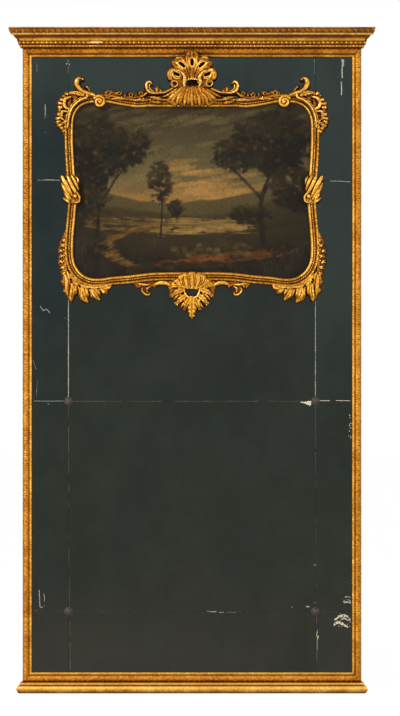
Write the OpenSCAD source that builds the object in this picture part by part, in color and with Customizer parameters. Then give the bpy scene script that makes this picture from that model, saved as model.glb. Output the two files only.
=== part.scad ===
/* [Body] */
// Width of the border frame, outside
body_w = 1186; // [1166:1:1240]
// Height of the border frame, outside
body_h = 2218; // [2190:1:2300]
// Width of the border moulding as seen from the front
border_w = 33; // [28:1:40]
// How far the plates reach under the border
glass_cover = 8; // [5:1:10]
// Space left round the plates in the border's rebate
edge_gap = 2; // [1:0.5:4]

/* [Layers from the wall] */
// Thickness of the pine carcass
carcass_t = 24; // [22:1:32]
// Thickness of the backboards
backboard_t = 10; // [8:1:14]
// Thickness of a mirror plate
glass_t = 4; // [3:0.5:6]
// How far the border stands in front of the glass
border_rise = 24; // [18:1:30]
// Height of the bead at the border's sight edge, above the glass
sight_bead_rise = 14; // [10:1:17]
// Radius of the bead at the border's sight edge
sight_bead_r = 5; // [3:0.5:6]
// Radius of the carved ovolo on the border
border_ovolo_r = 11; // [8:1:12]
// How far the plane of the cornice and base stands in front of the glass
moulding_stand = 14; // [10:1:18]

/* [Cornice] */
// Height of the cornice
cornice_h = 69; // [66:1:90]
// Greatest projection of the cornice, to the front and to the sides
cornice_out = 47; // [40:1:60]
// Radius of the astragal under the cavetto
astragal_r = 6; // [5:0.5:7]
// Projection of the astragal's centre
astragal_out = 10; // [8:0.5:14]
// Thickness of the board that covers the cornice
cover_t = 10; // [6:1:14]
// How far the cover board is let into the cornice
cover_in = 18; // [10:1:24]

/* [Base] */
// Height of the base moulding
base_h = 40; // [36:1:60]
// Radius of the large half-round on the base
base_torus_r = 13; // [11:0.5:14]
// Greatest projection of the base, to the front and to the sides
base_out = 21; // [18:1:30]
// Height of the plain edge under the half-round
base_edge_h = 1.5; // [1:0.5:4]

/* [Carcass] */
// How far the carcass is set back from the outside of the border
carcass_set_back = 2; // [0:1:6]
// Width of a stile
stile_w = 70; // [56:1:80]
// Height of the top rail below the cornice
top_rail_w = 70; // [55:1:90]
// Height of the bottom rail
bottom_rail_w = 95; // [85:1:120]
// Open gap between a muntin and its stile
bay_gap = 4; // [2:1:30]
// Height of a cross rail
cross_rail_w = 68; // [50:1:90]
// Length of a tenon
tenon_l = 26; // [15:1:35]
// Thickness of a tenon
tenon_t = 9; // [6:1:12]

/* [Mirror plates] */
// Distance of the upright joints from the side of the canvas
joint_out = 12.5; // [10:0.5:20]
// Height of the lowest level joint
row_low = 285; // [200:1:400]
// Height of the middle level joint
row_mid = 1022; // [900:1:1100]
// Height of the side plates' upper joint above the picture's centre
row_high_rise = 35; // [0:1:100]
// Width of a joint between plates
joint_gap = 1; // [0.4:0.1:2]
// Radius of the turned boss over a plate junction
boss_r = 14.5; // [10:0.5:20]
// Height of a boss
boss_t = 10; // [8:1:14]

/* [Picture] */
// Width of the stretched canvas
picture_w = 840; // [834:1:846]
// Height of the stretched canvas
picture_h = 625; // [600:1:660]
// Height of mirror above the canvas, up to the border's sight edge
top_glass_h = 153.5; // [140:0.5:200]
// Play round the canvas in the cartouche's rebate
picture_play = 1; // [0.5:0.5:2]
// Play round the canvas in the opening behind it
opening_play = 2.5; // [2:0.5:4]
// Depth of the canvas on its stretcher
picture_t = 19; // [15:1:20]
// Thickness of the canvas
canvas_t = 0.8; // [0.5:0.1:1.5]
// Width of the canvas turned over behind the stretcher
canvas_turn = 12; // [8:1:20]
// Width of a stretcher bar
stretcher_w = 50; // [35:1:60]
// Gap left in each joint of the stretcher
mitre_play = 0.3; // [0.2:0.1:1]
// Radius of a tack's head
tack_r = 2.5; // [1.5:0.5:3.5]
// Length of a tack's shank
tack_l = 8; // [5:1:10]
// Thickness of a corner wedge
key_t = 4; // [3:1:6]

/* [Cartouche] */
// Width of the cartouche rail
rail_w = 32; // [30:1:38]
// Depth of the rail's ground in front of the glass
rail_ground = 27; // [25:1:30]
// Width of the bead at the rail's sight edge
rail_bead_w = 10; // [7:1:12]
// Height of that bead above the ground
rail_bead_h = 8; // [5:1:10]
// Width of the rolled outer edge
rail_roll_w = 12; // [9:1:14]
// Height of the rolled edge above the ground
rail_roll_h = 15; // [10:1:17]
// Width of the carved band between them
rail_band_w = 5; // [3:1:6]
// Height of the carved band above the ground
rail_band_h = 4; // [2:1:6]
// Depth of the low carving in front of the glass
low_relief = 46; // [44:1:52]
// Depth of the high carving in front of the glass
high_relief = 56; // [54:1:64]
// Radius of the volutes on the top rail
volute_r = 21; // [16:1:24]

/* [Fittings] */
// Thickness of the access board behind the picture
access_t = 10; // [8:1:12]
// How far the access board reaches over the muntins
access_lap = 9; // [6:1:9]
// Distance of the access board's back from the wall
access_back = 8; // [7:1:10]
// Length of a turn button
button_l = 60; // [54:1:70]
// Width of a turn button
button_w = 16; // [12:1:20]
// Thickness of a turn button
button_t = 5; // [3:0.5:5.5]
// Distance of a turn button's pivot from the inside edge of its muntin
button_in = 33; // [30:1:36]
// Distance of the turn buttons above and below the picture's centre
button_rise = 200; // [100:1:260]
// Running clearance round a turn button
button_play = 0.3; // [0.2:0.1:0.5]
// Clearance round a screw in its hole, and of a turn button on its screw
pivot_play = 0.1; // [0.05:0.05:0.2]
// Radius of a screw's shank
screw_r = 1.9; // [1.5:0.1:2.2]
// Radius of a screw's head
screw_head_r = 4; // [3:0.5:4.5]
// Height of a screw's head
screw_head_t = 1.8; // [1:0.2:2.2]
// Length of a short screw
short_screw_l = 17; // [12:1:19]
// Length of a long screw
long_screw_l = 40; // [38:1:42]
// Width of a keyhole plate
plate_w = 36; // [32:1:44]
// Height of a keyhole plate
plate_h = 96; // [90:1:110]
// Thickness of a keyhole plate
plate_t = 3; // [2:0.5:4]
// Radius of the round entry of a keyhole
key_entry_r = 6; // [5:0.5:8]
// Width of the slot above it
key_slot_w = 5; // [4:0.5:7]
// Length of the slot from the entry's centre
key_slot_l = 26; // [20:1:30]
// Depth of the pocket for the wall screw's head
key_pocket = 16; // [10:1:18]
// Level of the lower keyholes above the shelf
hang_low = 350; // [300:1:500]
// Distance of the upper keyholes below the top of the border
hang_drop = 108; // [100:1:200]

/* [Hidden] */
$fn = 48;
PLATES = [for (c = ["left", "centre", "right"], r = [1:4]) str("plate_", c, "_", r)];
BUTTONS = ["turn_button_a", "turn_button_b", "turn_button_c", "turn_button_d"];

// Distances from the wall. The wall is the plane y = 0 and the front faces -y.
t_board = carcass_t;
t_glass = t_board + backboard_t;
t_face = t_glass + glass_t;
t_border = t_face + border_rise;
t_plane = t_face + moulding_stand;
t_ground = t_face + rail_ground;
t_roll = t_ground + rail_roll_h;
t_low = t_face + low_relief;
t_high = t_face + high_relief;
t_canvas = t_ground - 5;
t_stretcher = t_canvas - picture_t;

// Levels above the shelf.
z_body0 = base_h;
z_body1 = base_h + body_h;
z_top = z_body1 + cornice_h;
z_carcass = z_top - cover_t;
z_sight0 = z_body0 + border_w;
z_sight1 = z_body1 - border_w;
z_glass0 = z_sight0 - glass_cover;
z_glass1 = z_sight1 + glass_cover;
z_pic1 = z_sight1 - top_glass_h;
z_pic0 = z_pic1 - picture_h;
picture_z = (z_pic0 + z_pic1) / 2;
z_open0 = z_pic0 - opening_play;
z_open1 = z_pic1 + opening_play;

// Distances from the centre line.
x_body = body_w / 2;
x_stile = x_body - carcass_set_back;
x_bay = x_stile - stile_w;
x_sight = x_body - border_w;
x_glass = x_sight + glass_cover;
x_open = picture_w / 2 + opening_play;
x_muntin = x_bay - bay_gap;
x_pic = picture_w / 2;
joint_x = x_pic + joint_out;
x_screw = x_open + access_lap / 2 + 0.5;
x_button = x_open + button_in;
x_hang = x_stile - stile_w / 2;

row_high = picture_z + row_high_rise;
hang_high = z_body1 - hang_drop;

cross_levels = [row_low - cross_rail_w / 2, row_mid - cross_rail_w / 2, z_open0 - cross_rail_w, z_open1];
screw_levels = [for (f = [-0.33, -0.11, 0.14, 0.33]) picture_z + f * picture_h];
boss_levels = [row_low, row_mid];
spacer_w = 11;
spacer_l = 70;
board_count = 3;
board_gap = 1;
slip_l = 60;

pine = "#b08a5a";
old_pine = "#8f6a42";
gold = "#c8923a";
bright_gold = "#dba54a";
mirror_tone = "#333d3e";
brass = "#b08d4c";
iron = "#5c5650";
linen = "#5b4c33";

// Smooth curve through points, with n steps to a span.
function spline_at(a, b, c, d, u) =
    0.5 * (2 * b + (c - a) * u + (2 * a - 5 * b + 4 * c - d) * u * u + (3 * b - a - 3 * c + d) * u * u * u);
function open_curve(p, n) =
    let (m = len(p) - 1)
    [for (i = [0:m - 1], k = [0:n - 1]) spline_at(p[max(i - 1, 0)], p[i], p[i + 1], p[min(i + 2, m)], k / n), p[m]];
function closed_curve(p, n) =
    let (m = len(p))
    [for (i = [0:m - 1], k = [0:n - 1]) spline_at(p[(i + m - 1) % m], p[i], p[(i + 1) % m], p[(i + 2) % m], k / n)];
function shifted(p, by) = [for (q = p) q + by];
function flipped(p) = [for (i = [len(p) - 1:-1:0]) [-p[i][0], p[i][1]]];
function reversed(p) = [for (i = [len(p) - 1:-1:0]) p[i]];

// Unit normals on the left-hand picture's outer side, for a path that runs from the top round to the left.
function normal_at(p, i) =
    let (d = p[min(i + 1, len(p) - 1)] - p[max(i - 1, 0)])
    [d[1], -d[0]] / norm(d);
function beside(p, w) = [for (i = [0:len(p) - 1]) p[i] + normal_at(p, i) * w];
function strip(p, w0, w1) = concat(beside(p, w0), reversed(beside(p, w1)));

// A strip of changing width along a path, for scrolls and stems.
function tapered(p, w) =
    let (m = len(p) - 1, k = len(w) - 1)
    let (half = [for (i = [0:m]) let (s = i / m * k, j = min(floor(s), k - 1)) (w[j] + (w[j + 1] - w[j]) * (s - j)) / 2])
    concat([for (i = [0:m]) p[i] + normal_at(p, i) * half[i]],
           [for (i = [m:-1:0]) p[i] - normal_at(p, i) * half[i]]);

// Fixed points of the picture that the carving keeps to.
top_mid = [0, z_pic1];
low_mid = [0, z_pic0];
side_mid = [-x_pic, picture_z];
top_corner = [-x_pic, z_pic1];
low_corner = [-x_pic, z_pic0];

// The carving grows with the rail, and the crest with the mirror above the canvas.
k = rail_w / 32;
crest_k = top_glass_h / 153.5;
function sized(p, f) = [for (q = p) q * f];
function along_top(p) = [for (q = p) top_mid + [q[0] * x_pic / 420, q[1] * k]];
function along_bottom(p) = [for (q = p) low_mid + [q[0] * x_pic / 420, q[1] * k]];
function along_side(p) = [for (q = p) side_mid + [q[0] * k, q[1] * picture_h / 625]];
module at(anchor, f) {
    translate(anchor) scale(f) children();
}

// Left half of the sight edge of the cartouche, from the middle of the top to the middle of the bottom.
sight_points = concat(
    along_top([[0, -22], [-77, -23.5], [-147, -22.5], [-191, -25], [-245, -18]]),
    shifted(sized([[126, -8.5], [97, -8.5], [70, -8.6], [51, -12], [30, -23], [14, -44], [6.6, -73], [5.6, -118]], k),
            top_corner),
    along_side([[6.6, 145], [11, 71], [17.5, -26], [15, -79], [9, -145]]),
    shifted(sized([[6, 104], [10.5, 63], [24, 35], [45, 16], [70, 6.5], [105, 6], [140, 11.5]], k), low_corner),
    along_bottom([[-218, 16.5], [-147, 25], [-77, 27.5], [0, 27]]));
curve_steps = 4;
sight_curve = open_curve(sight_points, curve_steps);
top_joint = 9 * curve_steps;
low_joint = 21 * curve_steps;
top_left_path = [for (i = [0:top_joint]) sight_curve[i]];
top_path = concat([for (i = [top_joint:-1:1]) [-sight_curve[i][0], sight_curve[i][1]]], top_left_path);
side_path = [for (i = [top_joint:low_joint]) sight_curve[i]];
low_left_path = [for (i = [low_joint:len(sight_curve) - 1]) sight_curve[i]];
low_path = concat(low_left_path, [for (i = [len(low_left_path) - 2:-1:0]) [-low_left_path[i][0], low_left_path[i][1]]]);

// A flat shape in x and z, made solid between two distances from the wall.
module slab(t0, t1) {
    translate([0, -t0, 0]) rotate([90, 0, 0]) linear_extrude(t1 - t0) children();
}
module block(x0, x1, z0, z1, t0, t1) {
    translate([x0, -t1, z0]) cube([x1 - x0, t1 - t0, z1 - z0]);
}
module peg(x, z, r, t0, t1) {
    translate([x, -t0, z]) rotate([90, 0, 0]) cylinder(r = r, h = t1 - t0);
}
module on_left() {
    mirror([1, 0, 0]) children();
}
module both_sides() {
    children();
    on_left() children();
}

// Screws that go in from the back, at a point and a distance from the wall.
module screw(x, z, t0, length) {
    peg(x, z, screw_head_r, t0, t0 + screw_head_t);
    peg(x, z, screw_r, t0 + screw_head_t, t0 + length);
}
module screw_hole(x, z, t0, length) {
    peg(x, z, screw_head_r + pivot_play, -1, t0 + screw_head_t);
    peg(x, z, screw_r + pivot_play, t0 + screw_head_t - 0.5, t0 + length + pivot_play);
}

// Where the long screws go: into the cartouche beside the opening, and into the bosses.
t_cartouche_screw = access_back + access_t;
t_boss_screw = t_face + boss_t - 4 - long_screw_l;
module right_long_screws() {
    for (z = screw_levels) screw(x_screw, z, t_cartouche_screw, long_screw_l);
    for (z = boss_levels) screw(joint_x, z, t_boss_screw, long_screw_l);
}
module right_long_screw_holes() {
    for (z = screw_levels) screw_hole(x_screw, z, t_cartouche_screw, long_screw_l);
    for (z = boss_levels) screw_hole(joint_x, z, t_boss_screw, long_screw_l);
}

module stile() {
    difference() {
        block(x_bay, x_stile, 0, z_carcass, 0, t_board);
        mortise_pair(x_bay, z_body1 - top_rail_w, z_carcass);
        mortise_pair(x_bay, 0, bottom_rail_w);
        for (s = [-1, 1]) button_recess(picture_z + s * button_rise);
        for (z = [hang_low, hang_high]) keyhole_seat(z);
    }
}
module mortise_pair(x, z0, z1) {
    block(x - 1, x + tenon_l, z0 + 15, z1 - 15, (t_board - tenon_t) / 2, (t_board + tenon_t) / 2);
}
module end_rail(z0, z1) {
    block(-x_bay, x_bay, z0, z1, 0, t_board);
    block(-x_bay - tenon_l, x_bay + tenon_l, z0 + 15, z1 - 15, (t_board - tenon_t) / 2, (t_board + tenon_t) / 2);
}
shoulder = 12;
module muntin_tenon(z0, z1) {
    block(x_open + shoulder, x_muntin - shoulder, z0, z1, (t_board - tenon_t) / 2, (t_board + tenon_t) / 2);
}
module stile_left() {
    color(pine) on_left() stile();
}
module stile_right() {
    color(pine) stile();
}
module top_rail() {
    z0 = z_body1 - top_rail_w;
    color(pine) difference() {
        end_rail(z0, z_carcass);
        both_sides() muntin_tenon(z0 - 1, z0 + tenon_l);
    }
}
module bottom_rail() {
    color(pine) difference() {
        end_rail(0, bottom_rail_w);
        both_sides() muntin_tenon(bottom_rail_w - tenon_l, bottom_rail_w + 1);
    }
}
module muntin() {
    z0 = bottom_rail_w;
    z1 = z_body1 - top_rail_w;
    difference() {
        union() {
            block(x_open, x_muntin, z0, z1, 0, t_board);
            muntin_tenon(z0 - tenon_l, z1 + tenon_l);
        }
        block(x_open - 1, x_open + access_lap + board_gap, z_open0, z_open1, -1, t_cartouche_screw);
        for (s = [-1, 1]) button_recess(picture_z + s * button_rise);
        for (z = cross_levels) cross_mortise(z);
        right_long_screw_holes();
        for (s = [-1, 1]) peg(x_button, picture_z + s * button_rise, screw_r + pivot_play, 0, short_end + pivot_play);
    }
}
module cross_mortise(z) {
    block(x_open - 1, x_open + tenon_l, z + 12, z + cross_rail_w - 12, (t_board - tenon_t) / 2, (t_board + tenon_t) / 2);
}
module muntin_left() {
    color(pine) on_left() muntin();
}
module muntin_right() {
    color(pine) muntin();
}
module cross_rails() {
    color(pine) difference() {
        for (z = cross_levels) {
            block(-x_open, x_open, z, z + cross_rail_w, 0, t_board);
            block(-x_open - tenon_l, x_open + tenon_l, z + 12, z + cross_rail_w - 12,
                  (t_board - tenon_t) / 2, (t_board + tenon_t) / 2);
        }
        both_sides() right_long_screw_holes();
    }
}

module side_backboards() {
    color(old_pine) both_sides() difference() {
        block(x_open, x_glass + edge_gap, z_glass0 - edge_gap, z_glass1 + edge_gap, t_board, t_glass);
        right_long_screw_holes();
    }
}
module upper_backboard() {
    color(old_pine) block(-x_open, x_open, z_open1, z_glass1 + edge_gap, t_board, t_glass);
}
module lower_backboards() {
    w = 2 * x_open / board_count;
    color(old_pine) for (i = [0:board_count - 1])
        block(-x_open + i * w + board_gap / 2, -x_open + (i + 1) * w - board_gap / 2,
              z_glass0 - edge_gap, z_open0, t_board, t_glass);
}

module access_board() {
    x1 = x_open + access_lap;
    color(old_pine) block(-x1, x1, z_open0 + board_gap, z_open1 - board_gap, access_back, access_back + access_t);
}
module spacer_blocks() {
    x1 = x_pic - canvas_turn - 1;
    color(pine) both_sides() for (s = [-1, 1])
        block(x1 - spacer_w, x1, picture_z + s * picture_h / 4 - spacer_l / 2,
              picture_z + s * picture_h / 4 + spacer_l / 2, access_back + access_t, t_stretcher + canvas_t);
}

// The turn buttons lie in round recesses in the backs of the muntins.
t_button = access_back - button_play - button_t;
short_end = t_button - button_play - screw_head_t + short_screw_l;
module button_recess(z) {
    peg(x_button, z, button_l / 2 + 3, -1, access_back);
}
module turn_button(x, z) {
    color(brass) difference() {
        slab(t_button, t_button + button_t) union() {
            translate([x - button_l / 2 + button_w / 2, z - button_w / 2]) square([button_l - button_w, button_w]);
            for (s = [-1, 1]) translate([x + s * (button_l - button_w) / 2, z]) circle(r = button_w / 2);
        }
        peg(x, z, screw_r + pivot_play, t_button - 1, t_button + button_t + 1);
    }
}
module turn_button_a() {
    turn_button(-x_button, picture_z + button_rise);
}
module turn_button_b() {
    turn_button(x_button, picture_z + button_rise);
}
module turn_button_c() {
    turn_button(-x_button, picture_z - button_rise);
}
module turn_button_d() {
    turn_button(x_button, picture_z - button_rise);
}
module short_screws() {
    color(brass) both_sides() {
        for (s = [-1, 1])
            screw(x_button, picture_z + s * button_rise, t_button - button_play - screw_head_t, short_screw_l);
        for (z = [hang_low, hang_high], s = [-1, 1]) screw(x_hang, z + s * plate_screw_rise, 0, short_screw_l);
    }
}
module long_screws() {
    color(iron) both_sides() right_long_screws();
}

// Keyhole plates are let in flush with the back of the stiles.
plate_screw_rise = plate_h / 2 - 8;
entry_drop = 8;
module keyhole_seat(z) {
    block(x_hang - plate_w / 2, x_hang + plate_w / 2, z - plate_h / 2, z + plate_h / 2, -1, plate_t);
    block(x_hang - key_entry_r - 3, x_hang + key_entry_r + 3, z - entry_drop - key_entry_r - 3,
          z - entry_drop + key_slot_l + key_entry_r + 3, -1, key_pocket);
    for (s = [-1, 1]) peg(x_hang, z + s * plate_screw_rise, screw_r + pivot_play, 0, short_screw_l + pivot_play);
}
module keyhole_plate(z) {
    difference() {
        block(x_hang - plate_w / 2, x_hang + plate_w / 2, z - plate_h / 2, z + plate_h / 2, 0, plate_t);
        peg(x_hang, z - entry_drop, key_entry_r, -1, plate_t + 1);
        block(x_hang - key_slot_w / 2, x_hang + key_slot_w / 2, z - entry_drop, z - entry_drop + key_slot_l,
              -1, plate_t + 1);
        peg(x_hang, z - entry_drop + key_slot_l, key_slot_w / 2, -1, plate_t + 1);
        for (s = [-1, 1]) screw_hole(x_hang, z + s * plate_screw_rise, 0, short_screw_l);
    }
}
module keyhole_plates() {
    color(brass) both_sides() for (z = [hang_low, hang_high]) keyhole_plate(z);
}

// Border moulding: w runs outwards from the sight edge, and the section lies at y = -t.
module border_section() {
    mirror([1, 0]) union() {
        translate([t_board, glass_cover + edge_gap]) square([t_face - t_board, border_w - glass_cover - edge_gap]);
        translate([t_face, 0]) square([sight_bead_rise - sight_bead_r, border_w]);
        translate([t_face + sight_bead_rise - sight_bead_r, sight_bead_r]) circle(r = sight_bead_r);
        translate([t_face, 2 * sight_bead_r]) square([sight_bead_rise - 2, border_w - 2 * sight_bead_r]);
        translate([t_border - border_ovolo_r, 2 * sight_bead_r + border_ovolo_r]) circle(r = border_ovolo_r);
        translate([t_face, 2 * sight_bead_r + border_ovolo_r])
            square([border_rise - 2, border_w - 2 * sight_bead_r - border_ovolo_r]);
    }
}
module border_bar(half) {
    intersection() {
        translate([-half - border_w, 0, 0]) rotate([90, 0, 90]) linear_extrude(2 * (half + border_w)) border_section();
        slab(0, t_border + 1)
            polygon([[-half, 0], [half, 0], [half + border_w, border_w], [-half - border_w, border_w]]);
    }
}
z_sight_mid = (z_sight0 + z_sight1) / 2;
module border_left() {
    color(gold) translate([-x_sight, 0, z_sight_mid]) rotate([0, -90, 0]) border_bar(z_sight1 - z_sight_mid);
}
module border_right() {
    color(gold) translate([x_sight, 0, z_sight_mid]) rotate([0, 90, 0]) border_bar(z_sight1 - z_sight_mid);
}
module border_top() {
    color(gold) translate([0, 0, z_sight1]) border_bar(x_sight);
}
module border_bottom() {
    color(gold) translate([0, 0, z_sight0]) rotate([0, 180, 0]) border_bar(x_sight);
}

// Sections of the cornice and base: q is the projection, h the height.
section_back = t_board - t_plane;
module cornice_section() {
    u = cornice_out / 47;
    h1 = 9 + 2 * astragal_r;
    h2 = cornice_h - 31;
    h3 = cornice_h - 19;
    cavetto = [for (a = [0:15:90]) [u * (36 - 27 * cos(a)), h1 + 3 + (h2 - h1 - 3) * sin(a)]];
    cyma = [for (i = [0:8]) let (f = i / 8)
        [u * (42 + 5 * (f + 0.16 * sin(360 * f))), h3 + (cornice_h - 9 - h3) * f]];
    union() {
        polygon(concat([[section_back, 0], [u * 3, 0], [u * 6, 3], [u * 7.5, 6], [u * 7.5, 9],
                        [astragal_out, 9], [astragal_out, h1], [u * 9, h1]],
                       cavetto, [[u * 38, h2], [u * 38, h2 + 3], [u * 36.5, h2 + 3], [u * 36.5, h2 + 5],
                                 [u * 40, h2 + 5], [u * 41, h3 - 1], [u * 42, h3 - 1]], cyma,
                       [[cornice_out, cornice_h - 8], [cornice_out, cornice_h], [cover_in, cornice_h],
                        [cover_in, cornice_h - cover_t], [section_back, cornice_h - cover_t]]));
        translate([astragal_out, 9 + astragal_r]) circle(r = astragal_r);
    }
}
module base_section() {
    v = base_out / 21;
    c = base_out - base_torus_r;
    h1 = base_edge_h + 2 * base_torus_r;
    union() {
        polygon([[section_back, 0], [c + base_torus_r / 2, 0], [c + base_torus_r / 2, base_edge_h + 2],
                 [c, base_edge_h + base_torus_r], [c, h1], [v * 4, h1], [v * 4, h1 + 1.5], [v * 10, h1 + 1.5],
                 [v * 10, base_h - 5], [v * 3, base_h - 2], [v * 1, base_h], [section_back, base_h]]);
        translate([c, base_edge_h + base_torus_r]) circle(r = base_torus_r);
    }
}
reach = cornice_out + border_w;
module front_run(z0) {
    intersection() {
        translate([-x_body - reach, 0, z0]) rotate([90, 0, 90]) linear_extrude(2 * (x_body + reach))
            mirror([1, 0]) translate([t_plane, 0]) children();
        translate([0, 0, z0 - 1]) linear_extrude(z_top) polygon([
            [-x_body - section_back, -t_plane - section_back], [x_body + section_back, -t_plane - section_back],
            [x_body + reach, -t_plane - reach], [-x_body - reach, -t_plane - reach]]);
    }
}
module return_run(z0) {
    difference() {
        translate([x_body, 0, z0]) rotate([90, 0, 0]) linear_extrude(t_plane + reach) children();
        translate([0, 0, z0 - 1]) linear_extrude(z_top) polygon([
            [x_body + section_back - 1, -t_board], [x_body + section_back, -t_board],
            [x_body + reach + 20, -t_plane - reach - 20], [x_body + section_back - 1, -t_plane - reach - 20]]);
        block(0, x_stile, -1, z_carcass, -1, t_board);
    }
}
module cornice_front() {
    color(gold) front_run(z_body1) cornice_section();
}
module cornice_returns() {
    color(gold) both_sides() return_run(z_body1) cornice_section();
}
module cornice_cover_board() {
    color(old_pine) block(-x_body - cover_in, x_body + cover_in, z_carcass, z_top, 0, t_plane + cover_in);
}
module base_front() {
    color(bright_gold) front_run(0) base_section();
}
module base_returns() {
    color(bright_gold) both_sides() return_run(0) base_section();
}

// Mirror plates, with their corners cleared for the screws of the bosses.
plate_rows = [[row_high, z_glass1], [row_mid, row_high], [row_low, row_mid], [z_glass0, row_low]];
centre_rows = [[z_open1, z_glass1], [row_mid, z_open0], [row_low, row_mid], [z_glass0, row_low]];
boss_clear = screw_r + 0.7;
function inset(row, i) =
    [row[0] + (row[0] == z_glass0 || row[0] == z_open1 ? 0 : joint_gap / 2),
     row[1] - (row[1] == z_glass1 || row[1] == z_open0 ? 0 : joint_gap / 2)];
module side_plate(i) {
    row = inset(plate_rows[i]);
    difference() {
        block(joint_x + joint_gap / 2, x_glass, row[0], row[1], t_glass, t_face);
        for (z = boss_levels) peg(joint_x, z, boss_clear, t_glass - 1, t_face + 1);
    }
}
module centre_plate(i) {
    row = inset(centre_rows[i]);
    x1 = joint_x - joint_gap / 2;
    difference() {
        block(-x1, x1, row[0], row[1], t_glass, t_face);
        both_sides() for (z = boss_levels) peg(joint_x, z, boss_clear, t_glass - 1, t_face + 1);
    }
}
module plate(name) {
    color(mirror_tone) for (i = [0:3]) {
        if (name == PLATES[i]) on_left() side_plate(i);
        if (name == PLATES[4 + i]) centre_plate(i);
        if (name == PLATES[8 + i]) side_plate(i);
    }
}
module glazing_slips() {
    color(pine) {
        both_sides() for (z = [z_glass0 + 60, row_mid, row_high, z_glass1 - 120])
            block(x_glass, x_glass + edge_gap, z, z + slip_l, t_glass, t_face);
        for (x = [-x_glass + 40, -x_glass + 100, -joint_x + 60, joint_x - 60 - slip_l,
                  x_glass - 100 - slip_l, x_glass - 40 - slip_l])
            block(x, x + slip_l / 2, z_glass0 - edge_gap, z_glass0, t_glass, t_face);
    }
}
module boss(x, z) {
    translate([x, -t_face, z]) rotate([90, 0, 0]) difference() {
        rotate_extrude() {
            square([boss_r, 3]);
            translate([0, 3]) square([boss_r - 3, 2.5]);
            intersection() {
                translate([0, boss_t - boss_r]) circle(r = boss_r);
                square([boss_r - 5, boss_t]);
            }
        }
        translate([0, 0, -1]) cylinder(r = screw_r + pivot_play, h = boss_t - 3 + pivot_play);
    }
}
module plate_bosses() {
    color("#5a2f1c") both_sides() for (z = boss_levels) boss(joint_x, z);
}

// Cartouche rails: a ground, a bead at the sight edge, a carved band and a rolled outer edge.
module rail_body(p) {
    step = 2;
    band = rail_bead_w + (rail_w - rail_bead_w - rail_roll_w - rail_band_w) / 2;
    difference() {
        union() {
            slab(t_face, t_ground) polygon(strip(p, 0, rail_w));
            slab(t_ground, t_ground + rail_bead_h - 3) polygon(strip(p, 0, rail_bead_w));
            slab(t_ground + rail_bead_h - 3, t_ground + rail_bead_h) polygon(strip(p, step, rail_bead_w - step));
            slab(t_ground, t_ground + rail_band_h) polygon(strip(p, band, band + rail_band_w));
            slab(t_ground, t_roll - 4) polygon(strip(p, rail_w - rail_roll_w, rail_w));
            slab(t_roll - 4, t_roll) polygon(strip(p, rail_w - rail_roll_w + step, rail_w - step));
        }
        picture_space();
    }
}
module picture_space() {
    block(-x_pic - picture_play, x_pic + picture_play, z_pic0, z_pic1 + picture_play, t_face - 1, t_canvas);
}
module rail_envelope(p) {
    slab(t_face - 1, t_roll) polygon(strip(p, 0, rail_w));
}
module cartouche_top_rail() {
    color(gold) difference() {
        union() {
            rail_body(top_path);
            both_sides() volute();
        }
        picture_space();
    }
}
module volute() {
    c = top_corner + [97, -4] * k;
    peg(-c[0], c[1], volute_r, t_face, t_roll + step_up);
    peg(-c[0], c[1], volute_r / 2, t_roll + step_up, t_low + step_up);
}
module cartouche_bottom_rail() {
    color(gold) rail_body(low_path);
}
module left_rail() {
    difference() {
        rail_body(side_path);
        on_left() right_long_screw_holes();
    }
}
module cartouche_left_rail() {
    color(gold) left_rail();
}
module cartouche_right_rail() {
    color(gold) on_left() left_rail();
}

// Carvings are cut to sit outside and on top of the rail, clear of the canvas.
module carved() {
    difference() {
        children();
        block(-x_pic - picture_play, x_pic + picture_play, z_pic0, z_pic1 + picture_play, t_face - 1, t_ground + 4);
    }
}
module leaf_shape(points) {
    polygon(closed_curve(points, 3));
}
module scroll_shape(points, widths) {
    polygon(tapered(open_curve(points, 4), widths));
}
module disc(at, r) {
    translate(at) circle(r = r);
}

// Layers of the carving.
step_up = (high_relief - low_relief) * 0.4;
t_mid = t_high - 2 * step_up;
t_top = t_high - step_up;
t_thin = t_low - step_up;
module rail_clear(p) {
    slab(t_face - 1, t_high + 1) polygon(strip(p, 0, rail_w));
}

focus = top_mid + [0, 60] * crest_k;
shell_half = [[0, 115], [-14, 113], [-22, 104], [-27, 91], [-38, 97], [-53, 93], [-61, 84], [-72, 76], [-71, 63],
              [-66, 55], [-80, 50], [-88, 36], [-85, 20], [-73, 10], [-76, -1], [-70, -12], [-60, -15]];
shell_half_curve = open_curve(shell_half, 3);
shell_points = concat(shell_half_curve, flipped([for (i = [1:len(shell_half_curve) - 1]) shell_half_curve[i]]));
skirt_half = [[0, -84], [-15, -78], [-28, -83], [-37, -72], [-48, -76], [-60, -81], [-73, -69], [-87, -62],
              [-84, -42], [-69, -28], [-46, -12.5]];
skirt_points = concat(skirt_half, flipped([for (i = [1:len(skirt_half) - 1]) skirt_half[i]]));

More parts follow.
